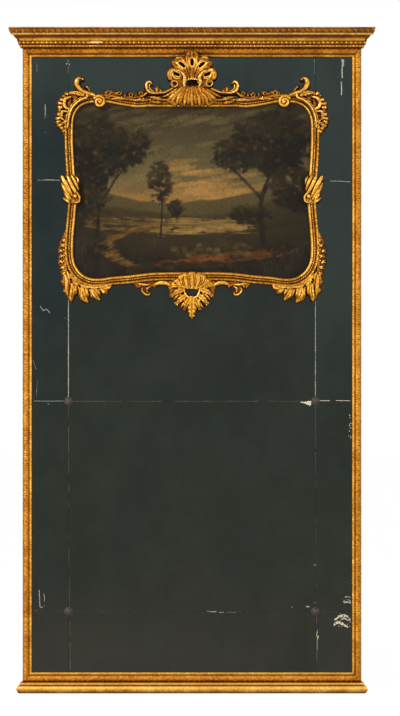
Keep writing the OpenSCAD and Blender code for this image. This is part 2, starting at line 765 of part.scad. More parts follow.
module shell_holes() {
    translate([-5.5, 64]) square([11, 22]);
    for (s = [-1, 1]) {
        translate([s * 35, 66]) rotate(-s * 48) translate([-4.5, -12]) square([9, 24]);
        translate([s * 54, 33]) rotate(s * 12) translate([-10, -6]) square([20, 12]);
    }
    intersection() {
        translate([0, -7]) circle(r = 19);
        translate([-19, -7]) square([38, 21]);
    }
}
module shell_crest() {
    color(bright_gold) carved() difference() {
        union() {
            slab(t_face, t_low) at(focus, crest_k) difference() {
                polygon(shell_points);
                shell_holes();
            }
            slab(t_low, t_high) at(focus, crest_k) difference() {
                scale(0.86) polygon(shell_points);
                shell_holes();
            }
        }
        block(-x_body, x_body, z_sight1, z_body1, t_face - 1, t_border + 0.5);
        rail_envelope(top_path);
        slab(t_face - 1, t_high + 1) at(focus, crest_k) polygon(skirt_points);
    }
}
module acanthus_skirt() {
    color(bright_gold) carved() difference() {
        union() {
            slab(t_face, t_low) at(focus, crest_k) polygon(skirt_points);
            slab(t_low, t_high) at(focus, crest_k) translate([0, -44]) scale(0.8) translate([0, 44])
                polygon(skirt_points);
        }
        rail_envelope(top_path);
    }
}

comb_points = [[9, 38], [-15, 32], [-23, 20], [-41, 12], [-46, 0], [-57, -12], [-48, -38], [-57, -46], [-62, -60],
               [-55, -75], [-59, -86], [-43, -105], [-30, -118], [0, -80], [10, -40], [40, 5], [50, 24]];
finial_path = [[42, 72], [32, 80], [18, 76], [13, 60], [20, 40], [38, 27], [62, 24]];
finial_leaf = [[38, 62], [47, 58], [60, 45], [66, 33], [64, 26], [52, 28], [44, 40], [38, 52]];
module top_corner_ornament() {
    carved() difference() {
        union() {
            slab(t_face, t_low) at(top_corner, k) difference() {
                leaf_shape(comb_points);
                translate([-4, -8]) square([8, 17]);
                translate([-26, -46]) square([7, 14]);
            }
            slab(t_face, t_mid) at(top_corner, k) scroll_shape(finial_path, [10, 14, 17, 17, 14, 12, 8]);
            slab(t_face, t_top) at(top_corner, k) disc([40, 72], 8);
            slab(t_face, t_low) at(top_corner, k) leaf_shape(finial_leaf);
            slab(t_low, t_top) at(top_corner, k) translate([-30, -40]) scale(0.5) translate([30, 40])
                leaf_shape(comb_points);
        }
        rail_clear(top_path);
        rail_clear(side_path);
    }
}
module top_corner_left() {
    color(gold) top_corner_ornament();
}
module top_corner_right() {
    color(gold) on_left() top_corner_ornament();
}

crest_scroll_path = along_top([[-142, 62], [-150, 70], [-158, 66], [-162, 50], [-156, 34], [-140, 25], [-119, 22],
                               [-95, 26], [-72, 36]]);
bud_points = along_top([[-130, 24], [-124, 44], [-114, 56], [-109, 42], [-112, 26]]);
garland_path = along_top([[-304, 12], [-270, 22], [-240, 20], [-212, 14], [-182, 20], [-160, 32]]);
blossoms = [[-290, 26, 9], [-270, 29, 10], [-250, 27, 11], [-215, 17, 10], [-183, 22, 11]];
stalks = [-258, -215, -178];
module crest_garland() {
    carved() difference() {
        union() {
            slab(t_face, t_mid) scroll_shape(crest_scroll_path, sized([9, 12, 13, 12, 10, 9, 8, 8, 8], k));
            slab(t_face, t_top) disc(along_top([[-145, 62]])[0], 6 * k);
            slab(t_face, t_low) leaf_shape(bud_points);
            slab(t_face, t_thin) scroll_shape(garland_path, sized([10, 8, 7, 7, 7, 8], k));
            slab(t_face, t_thin) for (x = stalks) at(along_top([[x, 0]])[0], k) square([6, 24]);
            for (b = blossoms) slab(t_face, t_low) disc(along_top([b])[0], b[2] * k);
        }
        rail_envelope(top_path);
    }
}
module crest_garlands() {
    color(gold) both_sides() crest_garland();
}

clasp_points = [[-35, 48], [-40, 33], [-31, 5], [-35, -24], [-22, -36], [13, -45], [29, -33], [25, -22],
                [30, 2], [19, 19], [10, 48], [-8, 54]];
module side_clasp() {
    carved() difference() {
        union() {
            slab(t_face, t_low) at(side_mid, k) leaf_shape(clasp_points);
            slab(t_low, t_top) at(side_mid, k * 0.7) leaf_shape(clasp_points);
        }
        rail_envelope(side_path);
    }
}
module side_clasps() {
    color(gold) both_sides() side_clasp();
}

trail_path = [[-28, 160], [-36, 140], [-40, 115], [-43, 95], [-42, 70], [-38, 45], [-34, 20]];
trail_knobs = [[-37, 135, 9], [-44, 112, 9], [-49, 95, 8], [-46, 73, 9], [-42, 50, 8], [-41, 26, 9]];
module side_trail() {
    difference() {
        union() {
            slab(t_face, t_thin) at(low_corner, k) scroll_shape(trail_path, [8, 16, 20, 20, 18, 16, 14]);
            for (q = trail_knobs) slab(t_face, t_low) at(low_corner, k) disc([q[0], q[1]], q[2]);
        }
        rail_clear(side_path);
        slab(t_face - 1, t_high) at(low_corner, k) polygon(closed_curve(spray_points, 3));
    }
}
module side_trails() {
    color(gold) both_sides() side_trail();
}

spray_points = [[-10, 22], [-30, 14], [-40, -9], [-24, -22], [-32, -43], [-14, -58], [0, -82], [20, -50],
                [30, -70], [57, -86], [58, -62], [72, -66], [102, -75], [98, -54], [124, -54], [128, -40],
                [144, -23], [136, -8], [100, -12], [60, -10], [20, 6]];
module corner_spray() {
    carved() difference() {
        union() {
            slab(t_face, t_low) at(low_corner, k) leaf_shape(spray_points);
            slab(t_low, t_top) at(low_corner, k) translate([45, -35]) scale(0.78) translate([-45, 35])
                leaf_shape(spray_points);
        }
        rail_clear(side_path);
        rail_clear(low_path);
    }
}
module corner_spray_left() {
    color(bright_gold) corner_spray();
}
module corner_spray_right() {
    color(bright_gold) on_left() corner_spray();
}

pendant_half = [[0, -136], [-12, -122], [-20, -114], [-34, -101], [-46, -90], [-63, -84], [-66, -67], [-78, -62],
                [-83, -38], [-90, -25], [-107, -21], [-124, -27], [-131, -35], [-140, -22], [-142, -6], [-110, -4],
                [-60, 2], [-50, 20], [0, 28]];
pendant_points = concat(pendant_half, flipped([for (i = [1:len(pendant_half) - 2]) pendant_half[i]]));
hook_path = [[-200, -12], [-185, -26], [-172, -40], [-160, -54], [-148, -50]];
hook_leaf = [[-205, -10], [-196, -24], [-170, -36], [-138, -26], [-138, -8], [-170, -4]];
module pendant() {
    color(bright_gold) carved() difference() {
        union() {
            slab(t_face, t_low) at(low_mid, k) polygon(pendant_points);
            slab(t_low, t_high) at(low_mid, k) translate([0, -50]) scale(0.66) translate([0, 50])
                polygon(pendant_points);
            both_sides() slab(t_face, t_thin + step_up / 2) at(low_mid, k) {
                scroll_shape(hook_path, [6, 12, 10, 8, 6]);
                leaf_shape(hook_leaf);
            }
        }
        slab(t_face - 1, t_high + 1) at(low_mid, k) translate([0, -34]) intersection() {
            circle(r = 24);
            translate([-24, -24]) square([48, 24]);
        }
        rail_envelope(low_path);
    }
}

// Canvas turned over its stretcher, the bars, the corner wedges and the tacks.
module canvas() {
    color(linen) difference() {
        block(-x_pic, x_pic, z_pic0, z_pic1, t_stretcher, t_canvas);
        stretcher_room();
        block(-x_pic + canvas_turn, x_pic - canvas_turn, z_pic0 + canvas_turn, z_pic1 - canvas_turn,
              t_stretcher - 1, t_stretcher + 2);
        tack_shanks();
    }
}
module stretcher_room() {
    block(-x_pic + canvas_t, x_pic - canvas_t, z_pic0 + canvas_t, z_pic1 - canvas_t,
          t_stretcher + canvas_t, t_canvas - canvas_t);
}
module mitred_bar(half, at) {
    end = half - mitre_play;
    slab(t_stretcher + canvas_t, t_canvas - canvas_t)
        polygon([[-end, at], [end, at], [end - stretcher_w, at - stretcher_w], [-end + stretcher_w, at - stretcher_w]]);
}
module stretcher_bars() {
    half_w = x_pic - canvas_t;
    half_h = picture_h / 2 - canvas_t;
    color(pine) difference() {
        union() {
            for (a = [0, 180]) translate([0, 0, picture_z]) rotate([0, a, 0]) mitred_bar(half_w, half_h);
            for (a = [90, -90]) translate([0, 0, picture_z]) rotate([0, a, 0]) mitred_bar(half_h, half_w);
            block(-stretcher_w / 2, stretcher_w / 2, picture_z - half_h + stretcher_w + mitre_play,
                  picture_z + half_h - stretcher_w - mitre_play, t_stretcher + canvas_t, t_canvas - canvas_t - 4);
        }
        tack_shanks();
        keys();
    }
}
module keys() {
    half_w = x_pic - canvas_t - stretcher_w;
    half_h = picture_h / 2 - canvas_t - stretcher_w;
    t0 = (t_stretcher + t_canvas - key_t) / 2;
    translate([0, 0, picture_z]) for (sx = [-1, 1], sz = [-1, 1])
        slab(t0, t0 + key_t) polygon([
            [sx * (half_w + 16), sz * (half_h + 4)], [sx * (half_w + 16), sz * (half_h + 8)],
            [sx * (half_w - 20), sz * (half_h + 1)], [sx * (half_w - 20), sz * (half_h - 8)]]);
}
module stretcher_keys() {
    color(old_pine) keys();
}
tack_in = canvas_turn / 2;
tack_xs = [for (k = [-4:4]) k * (x_pic - tack_in - 40) / 4];
tack_zs = [for (k = [-3:3]) picture_z + k * (picture_h / 2 - tack_in - 30) / 3];
module at_tacks() {
    for (x = tack_xs, z = [z_pic0 + tack_in, z_pic1 - tack_in]) translate([x, 0, z]) children();
    for (z = tack_zs, x = [-x_pic + tack_in, x_pic - tack_in]) translate([x, 0, z]) children();
}
module tack_shanks() {
    at_tacks() peg(0, 0, 0.7, t_stretcher - 0.5, t_stretcher + tack_l);
}
module canvas_tacks() {
    color(iron) at_tacks() union() {
        peg(0, 0, tack_r, t_stretcher - 0.8, t_stretcher);
        peg(0, 0, 0.7, t_stretcher, t_stretcher + tack_l);
    }
}

stile_left();
stile_right();
top_rail();
bottom_rail();
muntin_left();
muntin_right();
cross_rails();
side_backboards();
upper_backboard();
lower_backboards();
access_board();
spacer_blocks();
turn_button_a();
turn_button_b();
turn_button_c();
turn_button_d();
short_screws();
long_screws();
keyhole_plates();
border_left();
border_right();
border_top();
border_bottom();
cornice_front();
cornice_returns();
cornice_cover_board();
base_front();
base_returns();
for (p = PLATES) plate(p);
glazing_slips();
plate_bosses();
cartouche_top_rail();
cartouche_bottom_rail();
cartouche_left_rail();
cartouche_right_rail();
shell_crest();
acanthus_skirt();
pendant();
top_corner_left();
top_corner_right();
crest_garlands();
side_clasps();
side_trails();
corner_spray_left();
corner_spray_right();
canvas();
stretcher_bars();
stretcher_keys();
canvas_tacks();
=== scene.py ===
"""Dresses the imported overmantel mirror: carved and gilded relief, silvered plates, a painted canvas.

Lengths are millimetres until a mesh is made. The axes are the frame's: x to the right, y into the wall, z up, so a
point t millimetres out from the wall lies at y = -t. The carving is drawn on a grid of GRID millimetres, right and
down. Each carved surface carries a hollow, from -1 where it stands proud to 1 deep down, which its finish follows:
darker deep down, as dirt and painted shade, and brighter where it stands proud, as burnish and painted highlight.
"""

from __future__ import annotations

import logging
import math
import re
from dataclasses import dataclass, field
from enum import Enum
from typing import ClassVar

import bpy
import numpy as np
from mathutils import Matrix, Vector
from numpy.typing import ArrayLike

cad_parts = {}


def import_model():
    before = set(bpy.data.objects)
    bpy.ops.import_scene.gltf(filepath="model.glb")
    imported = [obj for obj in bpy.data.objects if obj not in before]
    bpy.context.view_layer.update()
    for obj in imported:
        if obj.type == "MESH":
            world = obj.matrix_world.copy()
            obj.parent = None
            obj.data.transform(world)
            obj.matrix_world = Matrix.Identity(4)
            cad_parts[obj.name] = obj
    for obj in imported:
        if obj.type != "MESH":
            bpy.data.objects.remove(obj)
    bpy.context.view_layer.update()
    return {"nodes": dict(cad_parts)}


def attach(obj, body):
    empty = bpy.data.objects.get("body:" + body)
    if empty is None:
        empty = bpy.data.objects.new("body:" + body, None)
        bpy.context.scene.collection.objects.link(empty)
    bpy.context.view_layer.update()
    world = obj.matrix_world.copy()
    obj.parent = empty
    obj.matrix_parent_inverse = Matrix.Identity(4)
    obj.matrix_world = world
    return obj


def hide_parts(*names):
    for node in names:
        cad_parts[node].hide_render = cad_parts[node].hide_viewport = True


LOG = logging.getLogger("overmantel")
BODY = "overmantel"
METRE = 0.001
SHARP_EDGE = 48
# The drawing grid: its step, and its column and row that lie on the middle line and the shelf.
GRID = 3.5
GRID_MIDDLE = 192.0
GRID_FOOT = 693.0
# Edges of the picture, of the glass (sight) and of the frame's body.
X_PIC = 420.0
Z_PIC_LOW = 1446.5
Z_PIC_TOP = 2071.5
Z_PIC_MID = 1759.0
X_SIGHT = 560.0
X_BODY = 593.0
X_JOINT = 432.5
Z_SIGHT_LOW = 73.0
Z_SIGHT_TOP = 2225.0
Z_BODY_TOP = 2258.0
# Distances from the wall: carcass, glass, stretcher, canvas, the plane that the cornice and base stand on, and the
# most that the carving and the cornice's front may reach.
T_BOARD = 24.0
T_FACE = 38.0
T_STRETCHER = 41.0
T_CANVAS = 60.0
T_PLANE = 52.0
T_LIMIT = 93.6
FRONT_LIMIT = 98.8
# The most that the cornice's sides may reach from the middle.
SIDE_LIMIT = 639.8


# Colour and shape helpers


def linear(code: str) -> tuple[float, float, float, float]:
    """Turns an sRGB hex colour into linear RGBA.

    Args:
        code: The colour as "#rrggbb".

    Returns:
        Linear red, green, blue and an alpha of 1.
    """
    parts = [int(code[i : i + 2], 16) / 255 for i in (1, 3, 5)]
    rgb = [c / 12.92 if c <= 0.04045 else ((c + 0.055) / 1.055) ** 2.4 for c in parts]
    return rgb[0], rgb[1], rgb[2], 1.0


def drawn(points: ArrayLike) -> np.ndarray:
    """Turns points of the drawing grid (right, down) into millimetres (x, z)."""
    grid = np.asarray(points, float)
    return np.stack([(grid[:, 0] - GRID_MIDDLE) * GRID, (GRID_FOOT - grid[:, 1]) * GRID], 1)


def spline(points: np.ndarray, steps: int) -> np.ndarray:
    """Runs an open Catmull-Rom curve through points.

    Args:
        points: The points, one row each.
        steps: Pieces between two points.

    Returns:
        The points of the curve.
    """
    count = len(points) - 1
    rows = []
    for i in range(count):
        a, b, c, d = points[max(i - 1, 0)], points[i], points[i + 1], points[min(i + 2, count)]
        for k in range(steps):
            u = k / steps
            rows.append(
                0.5 * (2 * b + (c - a) * u + (2 * a - 5 * b + 4 * c - d) * u * u + (3 * b - a - 3 * c + d) * u**3)
            )
    rows.append(points[-1])
    return np.array(rows)


def smooth_noise(rng: np.random.Generator, shape: tuple[int, int], cells: float) -> np.ndarray:
    """Makes smooth noise from 0 to 1 on a grid, with features about cells wide."""
    noise = blurred(rng.random(shape), cells)
    return (noise - noise.min()) / (noise.max() - noise.min())


def blurred(values: np.ndarray, cells: float) -> np.ndarray:
    """Gaussian blur of a 2-D array, with a deviation in cells."""
    fx, fz = np.fft.fftfreq(values.shape[0])[:, None], np.fft.fftfreq(values.shape[1])[None, :]
    return np.fft.ifft2(np.fft.fft2(values) * np.exp(-2 * (math.pi * cells) ** 2 * (fx**2 + fz**2))).real


def back_of(x: np.ndarray, z: np.ndarray) -> np.ndarray:
    """Distance from the wall at which a carving's back lies: on the canvas inside the picture, else on the glass."""
    inside = (np.abs(x) < X_PIC + 2) & (z > Z_PIC_LOW - 1) & (z < Z_PIC_TOP + 2)
    return np.where(inside, T_CANVAS + 1.2, T_FACE + 0.1)


def spread(marks: np.ndarray, steps: tuple[int, ...]) -> np.ndarray:
    """Marks every cell that lies the given steps from a marked one, both ways."""
    return np.any([np.roll(marks, (i, k), (0, 1)) for i in steps for k in steps], axis=0)


def across(along: np.ndarray) -> np.ndarray:
    """Turns directions (x, z) a quarter round, with a length of 1."""
    return np.stack([-along[:, 1], along[:, 0]], 1) / np.maximum(np.hypot(along[:, 0], along[:, 1]), 1e-6)[:, None]


def laid(points: np.ndarray, distance: float | np.ndarray) -> np.ndarray:
    """Puts points (x, z) at a distance from the wall."""
    return np.insert(points, 1, -distance, axis=1)


def numbers(text: str) -> np.ndarray:
    """Reads numbers parted by blanks."""
    return np.array(text.split(), float)


def between(values: ArrayLike, at: ArrayLike) -> np.ndarray:
    """Reads evenly spaced values at places from 0 to 1."""
    return np.interp(at, np.linspace(0, 1, len(values)), values)


def placed(name: str, data: bpy.types.ID) -> bpy.types.Object:
    """Puts a mesh, lamp or camera into the scene.

    Args:
        name: The object's name.
        data: What it shows.

    Returns:
        The object.
    """
    made = bpy.data.objects.new(name, data)
    bpy.context.scene.collection.objects.link(made)
    return made


@dataclass
class Solid:
    """A closed shape as arrays.

    Args:
        points: Corners in millimetres, one row each.
        quads: Four corner numbers for each face.
        tris: Three corner numbers for each face.
        hollow: For each corner, from -1 where it stands proud to 1 deep in a hollow.
    """

    points: np.ndarray
    quads: np.ndarray
    tris: np.ndarray = field(default_factory=lambda: np.zeros((0, 3), int))
    hollow: np.ndarray | None = None

    def __post_init__(self) -> None:
        """Fills in the hollow where it isn't given."""
        if self.hollow is None:
            self.hollow = np.zeros(len(self.points))

    @staticmethod
    def joined(parts: list["Solid"]) -> "Solid":
        """Puts several shapes into one.

        Args:
            parts: The shapes.

        Returns:
            The one shape.
        """
        starts = np.cumsum([0, *(len(part.points) for part in parts)])
        return Solid(
            np.concatenate([part.points for part in parts]),
            np.concatenate([part.quads + at for part, at in zip(parts, starts)]),
            np.concatenate([part.tris + at for part, at in zip(parts, starts)]),
            np.concatenate([part.hollow for part in parts]),
        )

    @staticmethod
    def of_mesh(mesh: bpy.types.Mesh) -> "Solid":
        """Reads a mesh of three-cornered and four-cornered faces.

        Args:
            mesh: The mesh, in metres.

        Returns:
            Its shape, in millimetres.
        """
        points, hollow = np.zeros(len(mesh.vertices) * 3), np.zeros(len(mesh.vertices))
        corners = np.zeros(len(mesh.loops), int)
        starts, sizes = np.zeros((2, len(mesh.polygons)), int)
        for items, key, values in (
            (mesh.vertices, "co", points),
            (mesh.loops, "vertex_index", corners),
            (mesh.polygons, "loop_start", starts),
            (mesh.polygons, "loop_total", sizes),
            (mesh.attributes["hollow"].data, "value", hollow),
        ):
            items.foreach_get(key, values)
        quads, tris = (corners[starts[sizes == n][:, None] + np.arange(n)] for n in (4, 3))
        return Solid(points.reshape(-1, 3) / METRE, quads, tris, hollow)

    def turned(self, matrix: ArrayLike, offset: ArrayLike = (0.0, 0.0, 0.0)) -> "Solid":
        """Returns a copy turned by a 3x3 matrix and then moved.

        Args:
            matrix: Three rows of three numbers.
            offset: Where its origin goes.

        Returns:
            The copy.
        """
        turn = np.asarray(matrix, float)
        moved = Solid(self.points @ turn.T + np.asarray(offset), self.quads, self.tris, self.hollow)
        return moved.flipped() if np.linalg.det(turn) < 0 else moved

    def flipped(self) -> "Solid":
        """Returns a copy with its faces turned over."""
        return Solid(self.points, self.quads[:, ::-1], self.tris[:, ::-1], self.hollow)

    def mirrored(self) -> "Solid":
        """Returns the same shape on the other side of the middle."""
        return self.turned([[-1, 0, 0], [0, 1, 0], [0, 0, 1]])

    def outward(self) -> "Solid":
        """Returns the shape with its faces towards the outside.

        Returns:
            The shape itself, or a copy that is turned over.
        """
        p = self.points
        tris = np.concatenate([self.tris, self.quads[:, [0, 1, 2]], self.quads[:, [0, 2, 3]]])
        volume = np.einsum("ij,ij->i", p[tris[:, 0]], np.cross(p[tris[:, 1]], p[tris[:, 2]])).sum()
        return self if volume >= 0 else self.flipped()

    def mesh(self, name: str) -> bpy.types.Mesh:
        """Makes a Blender mesh in metres, smooth but sharp at its edges.

        Args:
            name: The mesh's name.

        Returns:
            The mesh.
        """
        mesh = bpy.data.meshes.new(name)
        loops = np.concatenate([self.quads.ravel(), self.tris.ravel()]).astype(np.int32)
        sizes = np.concatenate([np.full(len(self.quads), 4), np.full(len(self.tris), 3)])
        mesh.vertices.add(len(self.points))
        mesh.vertices.foreach_set("co", (self.points * METRE).astype(np.float32).ravel())
        mesh.loops.add(len(loops))
        mesh.loops.foreach_set("vertex_index", loops)
        mesh.polygons.add(len(sizes))
        mesh.polygons.foreach_set("loop_start", np.concatenate([[0], np.cumsum(sizes)[:-1]]).astype(np.int32))
        mesh.polygons.foreach_set("use_smooth", np.ones(len(sizes), bool))
        mesh.update(calc_edges=True)
        mesh.validate()
        mesh.attributes.new("hollow", "FLOAT", "POINT").data.foreach_set("value", self.hollow.astype(np.float32))
        mesh.set_sharp_from_angle(angle=math.radians(SHARP_EDGE))
        return mesh

    def piece(self, name: str, finish: "Finish", slot: str, nodes: tuple[str, ...] = ()) -> bpy.types.Object:
        """Makes the piece, lets it ride on the overmantel and stand for the CAD nodes that it replaces.

        Args:
            name: The piece's name.
            finish: Its finish.
            slot: Its material slot in the record; not used.
            nodes: CAD nodes that it stands for.

        Returns:
            The piece.
        """
        made = placed(name, self.mesh(name))
        made.data.materials.append(finish.material())
        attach(made, BODY)
        if nodes:
            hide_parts(*nodes)
        LOG.info("%s: %d faces", name, len(made.data.polygons))
        return made


# Materials

ATTRIBUTE, BUMP, MATH, MIX, NOISE, RAMP, SPAN, VECTOR = (
    "ShaderNodeAttribute",
    "ShaderNodeBump",
    "ShaderNodeMath",
    "ShaderNodeMix",
    "ShaderNodeTexNoise",
    "ShaderNodeValToRGB",
    "ShaderNodeMapRange",
    "ShaderNodeVectorMath",
)
# The output that carries the result, for the kinds of node where it isn't the first one.
RESULT = {MIX: 2, "FunctionNodeRandomValue": 1}


@dataclass
class Graph:
    """A node tree that is built node by node.

    Args:
        tree: The tree.
        place: Socket with the object's own coordinates, in a material.
    """

    tree: bpy.types.NodeTree
    place: bpy.types.NodeSocket | None = None

    def add(
        self,
        kind: str,
        inputs: dict | list | None = None,
        size: tuple | None = None,
        stops: list | None = None,
        **settings: object,
    ) -> bpy.types.Node:
        """Adds a node with its settings and links.

        Args:
            kind: The node's type.
            inputs: What goes into its inputs, by name or number: a value, or the node or socket that feeds it.
            size: Size of a texture's features along x, y and z, in millimetres.
            stops: Places and colours of a colour ramp.
            settings: The node's own properties.

        Returns:
            The node.
        """
        given = dict(enumerate(inputs)) if isinstance(inputs, list) else dict(inputs or {})
        if size:
            scale = tuple(1 / (s * METRE) for s in size)
            given |= {"Vector": self.add(VECTOR, [self.place, scale], operation="MULTIPLY"), "Scale": 1.0}
        node = self.tree.nodes.new(kind)
        for key, value in settings.items():
            setattr(node, key, value)
        for n, (at, code) in enumerate(stops or []):
            marks = node.color_ramp.elements
            mark = marks[n] if n < len(marks) else marks.new(at)
            mark.position, mark.color = at, linear(code)
        for key, value in given.items():
            if isinstance(value, bpy.types.Node):
                value = value.outputs[RESULT.get(value.bl_idname, 0)]
            if isinstance(value, bpy.types.NodeSocket):
                self.tree.links.new(value, node.inputs[key])
            else:
                node.inputs[key].default_value = value
        return node


@dataclass(frozen=True)
class Finish:
    """A surface finish. Each one makes its material once.

    Args:
        name: What the surface really is.
    """

    name: str

    def material(self) -> bpy.types.Material:
        """Returns the finish's material, made on first use.

        Returns:
            The material.
        """
        made = bpy.data.materials.get(self.name)
        if made:
            return made
        made = bpy.data.materials.new(self.name)
        made.use_nodes = True
        made.node_tree.nodes.clear()
        graph = Graph(made.node_tree)
        graph.place = graph.add("ShaderNodeTexCoord").outputs["Object"]
        shader = graph.add("ShaderNodeBsdfPrincipled", self.surface(graph))
        graph.add("ShaderNodeOutputMaterial", {"Surface": shader})
        return made

    def surface(self, g: Graph) -> dict:
        """Builds the surface from the material's nodes and returns the shader's inputs."""
        raise NotImplementedError


@dataclass(frozen=True)
class Gilding(Finish):
    """Water gilding: beaten leaf over red bole and chalk gesso, burnished on the crests.

    The eye sees warm metal that glints on crests, turns brown in the hollows, and reddish where the leaf is rubbed
    thin.
    The glint is burnish together with a painted highlight on the crests, and the brown is dirt and old size together
    with painted shade in the hollows. The grit stands for leaf laps and pin holes under half a millimetre, drawn at
    1.6 mm so that it shows.

    Args:
        bright: Colour of the burnished crests, with a painted highlight.
        light: Colour of the open surfaces.
        mid: Colour of the slopes.
        low: Colour of the hollows.
        deep: Colour at the bottom of the hollows: dirt and painted shade.
        bole: Colour of the ground that shows where the gold is rubbed.
        gesso: Colour of the chalk, where gold and bole are chipped off and the hollow is under -1.3.
        roughness: Roughness of the open surfaces.
        wear: How much of the bole shows through, from 0 to 1.
        shift: Moves the whole finish towards its hollows (up) or crests (down).
    """

    bright: str = "#ebbf60"
    light: str = "#c28c32"
    mid: str = "#976119"
    low: str = "#65330d"
    deep: str = "#1c0c07"
    bole: str = "#823b16"
    gesso: str = "#d9c49a"
    roughness: float = 0.34
    wear: float = 0.4
    shift: float = 0.0

    def surface(self, g: Graph) -> dict:
        """Builds the gold.

        Args:
            g: The material's nodes.

        Returns:
            The shader's inputs.
        """
        hollow = g.add(ATTRIBUTE, attribute_name="hollow").outputs["Fac"]
        patch, fine, grit, rubbed = (
            g.add(NOISE, {"Detail": detail, "Roughness": rough}, (size, size, size))
            for size, detail, rough in ((60, 3, 0.55), (7, 4, 0.65), (1.6, 2, 0.6), (10, 4, 0.7))
        )
        # The hollow sets the tone: dark as dirt and painted shade where it is high, bright as burnish and painted
        # highlight where it is low.
        shade = g.add(MATH, [hollow, 0.55, 0.42 + self.shift], operation="MULTIPLY_ADD")
        for noise, low, play in ((patch, 0.3, 0.1), (grit, 0.3, 0.05), (fine, 0.25, 0.17)):
            stray = g.add(SPAN, [noise, low, 1 - low, -play, play])
            shade = g.add(MATH, [shade, stray], operation="ADD", use_clamp=noise is fine)
        stops = [(0.08, self.bright), (0.34, self.light), (0.55, self.mid), (0.75, self.low), (0.97, self.deep)]
        rub = g.add(SPAN, [rubbed, 0.5, 0.64, 0.0, self.wear])
        leaf = {0: rub, 6: g.add(RAMP, [shade], stops=stops), 7: linear(self.bole)}
        bare = g.add(SPAN, [hollow, -1.8, -1.3, 1.0, 0.0])
        chipped = {0: bare, 6: g.add(MIX, leaf, data_type="RGBA"), 7: linear(self.gesso)}
        clean = g.add(SPAN, [shade, 0.6, 0.98, 1.0, 0.25])
        marks = [g.add(MATH, [noise, share], operation="MULTIPLY") for noise, share in ((fine, 0.7), (grit, 0.3))]
        height = g.add(MATH, marks, operation="ADD")
        return {
            "Base Color": g.add(MIX, chipped, data_type="RGBA"),
            "Metallic": g.add(MATH, [clean, bare], operation="SUBTRACT", use_clamp=True),
            "Roughness": g.add(SPAN, [shade, 0.1, 0.9, self.roughness, 0.72]),
            "Normal": g.add(BUMP, {"Distance": 0.45 * METRE, "Height": height}),
        }


class Grain(Enum):
    """Direction of a board's grain: length, width and depth of a streak along x, y and z, in millimetres."""

    ACROSS = (520.0, 7.0, 7.0)
    UPRIGHT = (7.0, 7.0, 520.0)


@dataclass(frozen=True)
class Wood(Finish):
    """Sawn and planed pine: pale early wood with darker late wood, dull, and grey-brown with old dirt in patches.

    Args:
        early: Colour of the pale early wood.
        late: Colour of the dark late wood.
        grain: Direction of the grain.
        soil: Colour of old dirt.
    """

    early: str = "#a9855a"
    late: str = "#6f4a28"
    grain: Grain = Grain.UPRIGHT
    soil: str = "#3c2b1d"

    def surface(self, g: Graph) -> dict:
        """Builds the wood.

        Args:
            g: The material's nodes.

        Returns:
            The shader's inputs.
        """
        fine = tuple(max(s / 6, 1.2) for s in self.grain.value)
        streak, fibre, stain = (
            g.add(NOISE, {"Detail": detail, "Roughness": 0.6}, size)
            for size, detail in ((self.grain.value, 4), (fine, 3), ((180, 180, 180), 3))
        )
        rings = [g.add(MATH, [noise, share], operation="MULTIPLY") for noise, share in ((streak, 0.75), (fibre, 0.3))]
        shade = g.add(MATH, rings, operation="ADD")
        stops = [(0.36, self.early), (0.55, self.late), (0.62, self.early), (0.8, self.late)]
        dirt = g.add(SPAN, [stain, 0.45, 0.75, 0.0, 0.65])
        soiled = {0: dirt, 6: g.add(RAMP, [shade], stops=stops), 7: linear(self.soil)}
        return {
            "Base Color": g.add(MIX, soiled, data_type="RGBA"),
            "Roughness": g.add(SPAN, [fibre, 0.2, 0.8, 0.62, 0.85]),
            "Specular IOR Level": 0.3,
            "Normal": g.add(BUMP, {"Distance": 0.35 * METRE, "Height": shade}),
        }


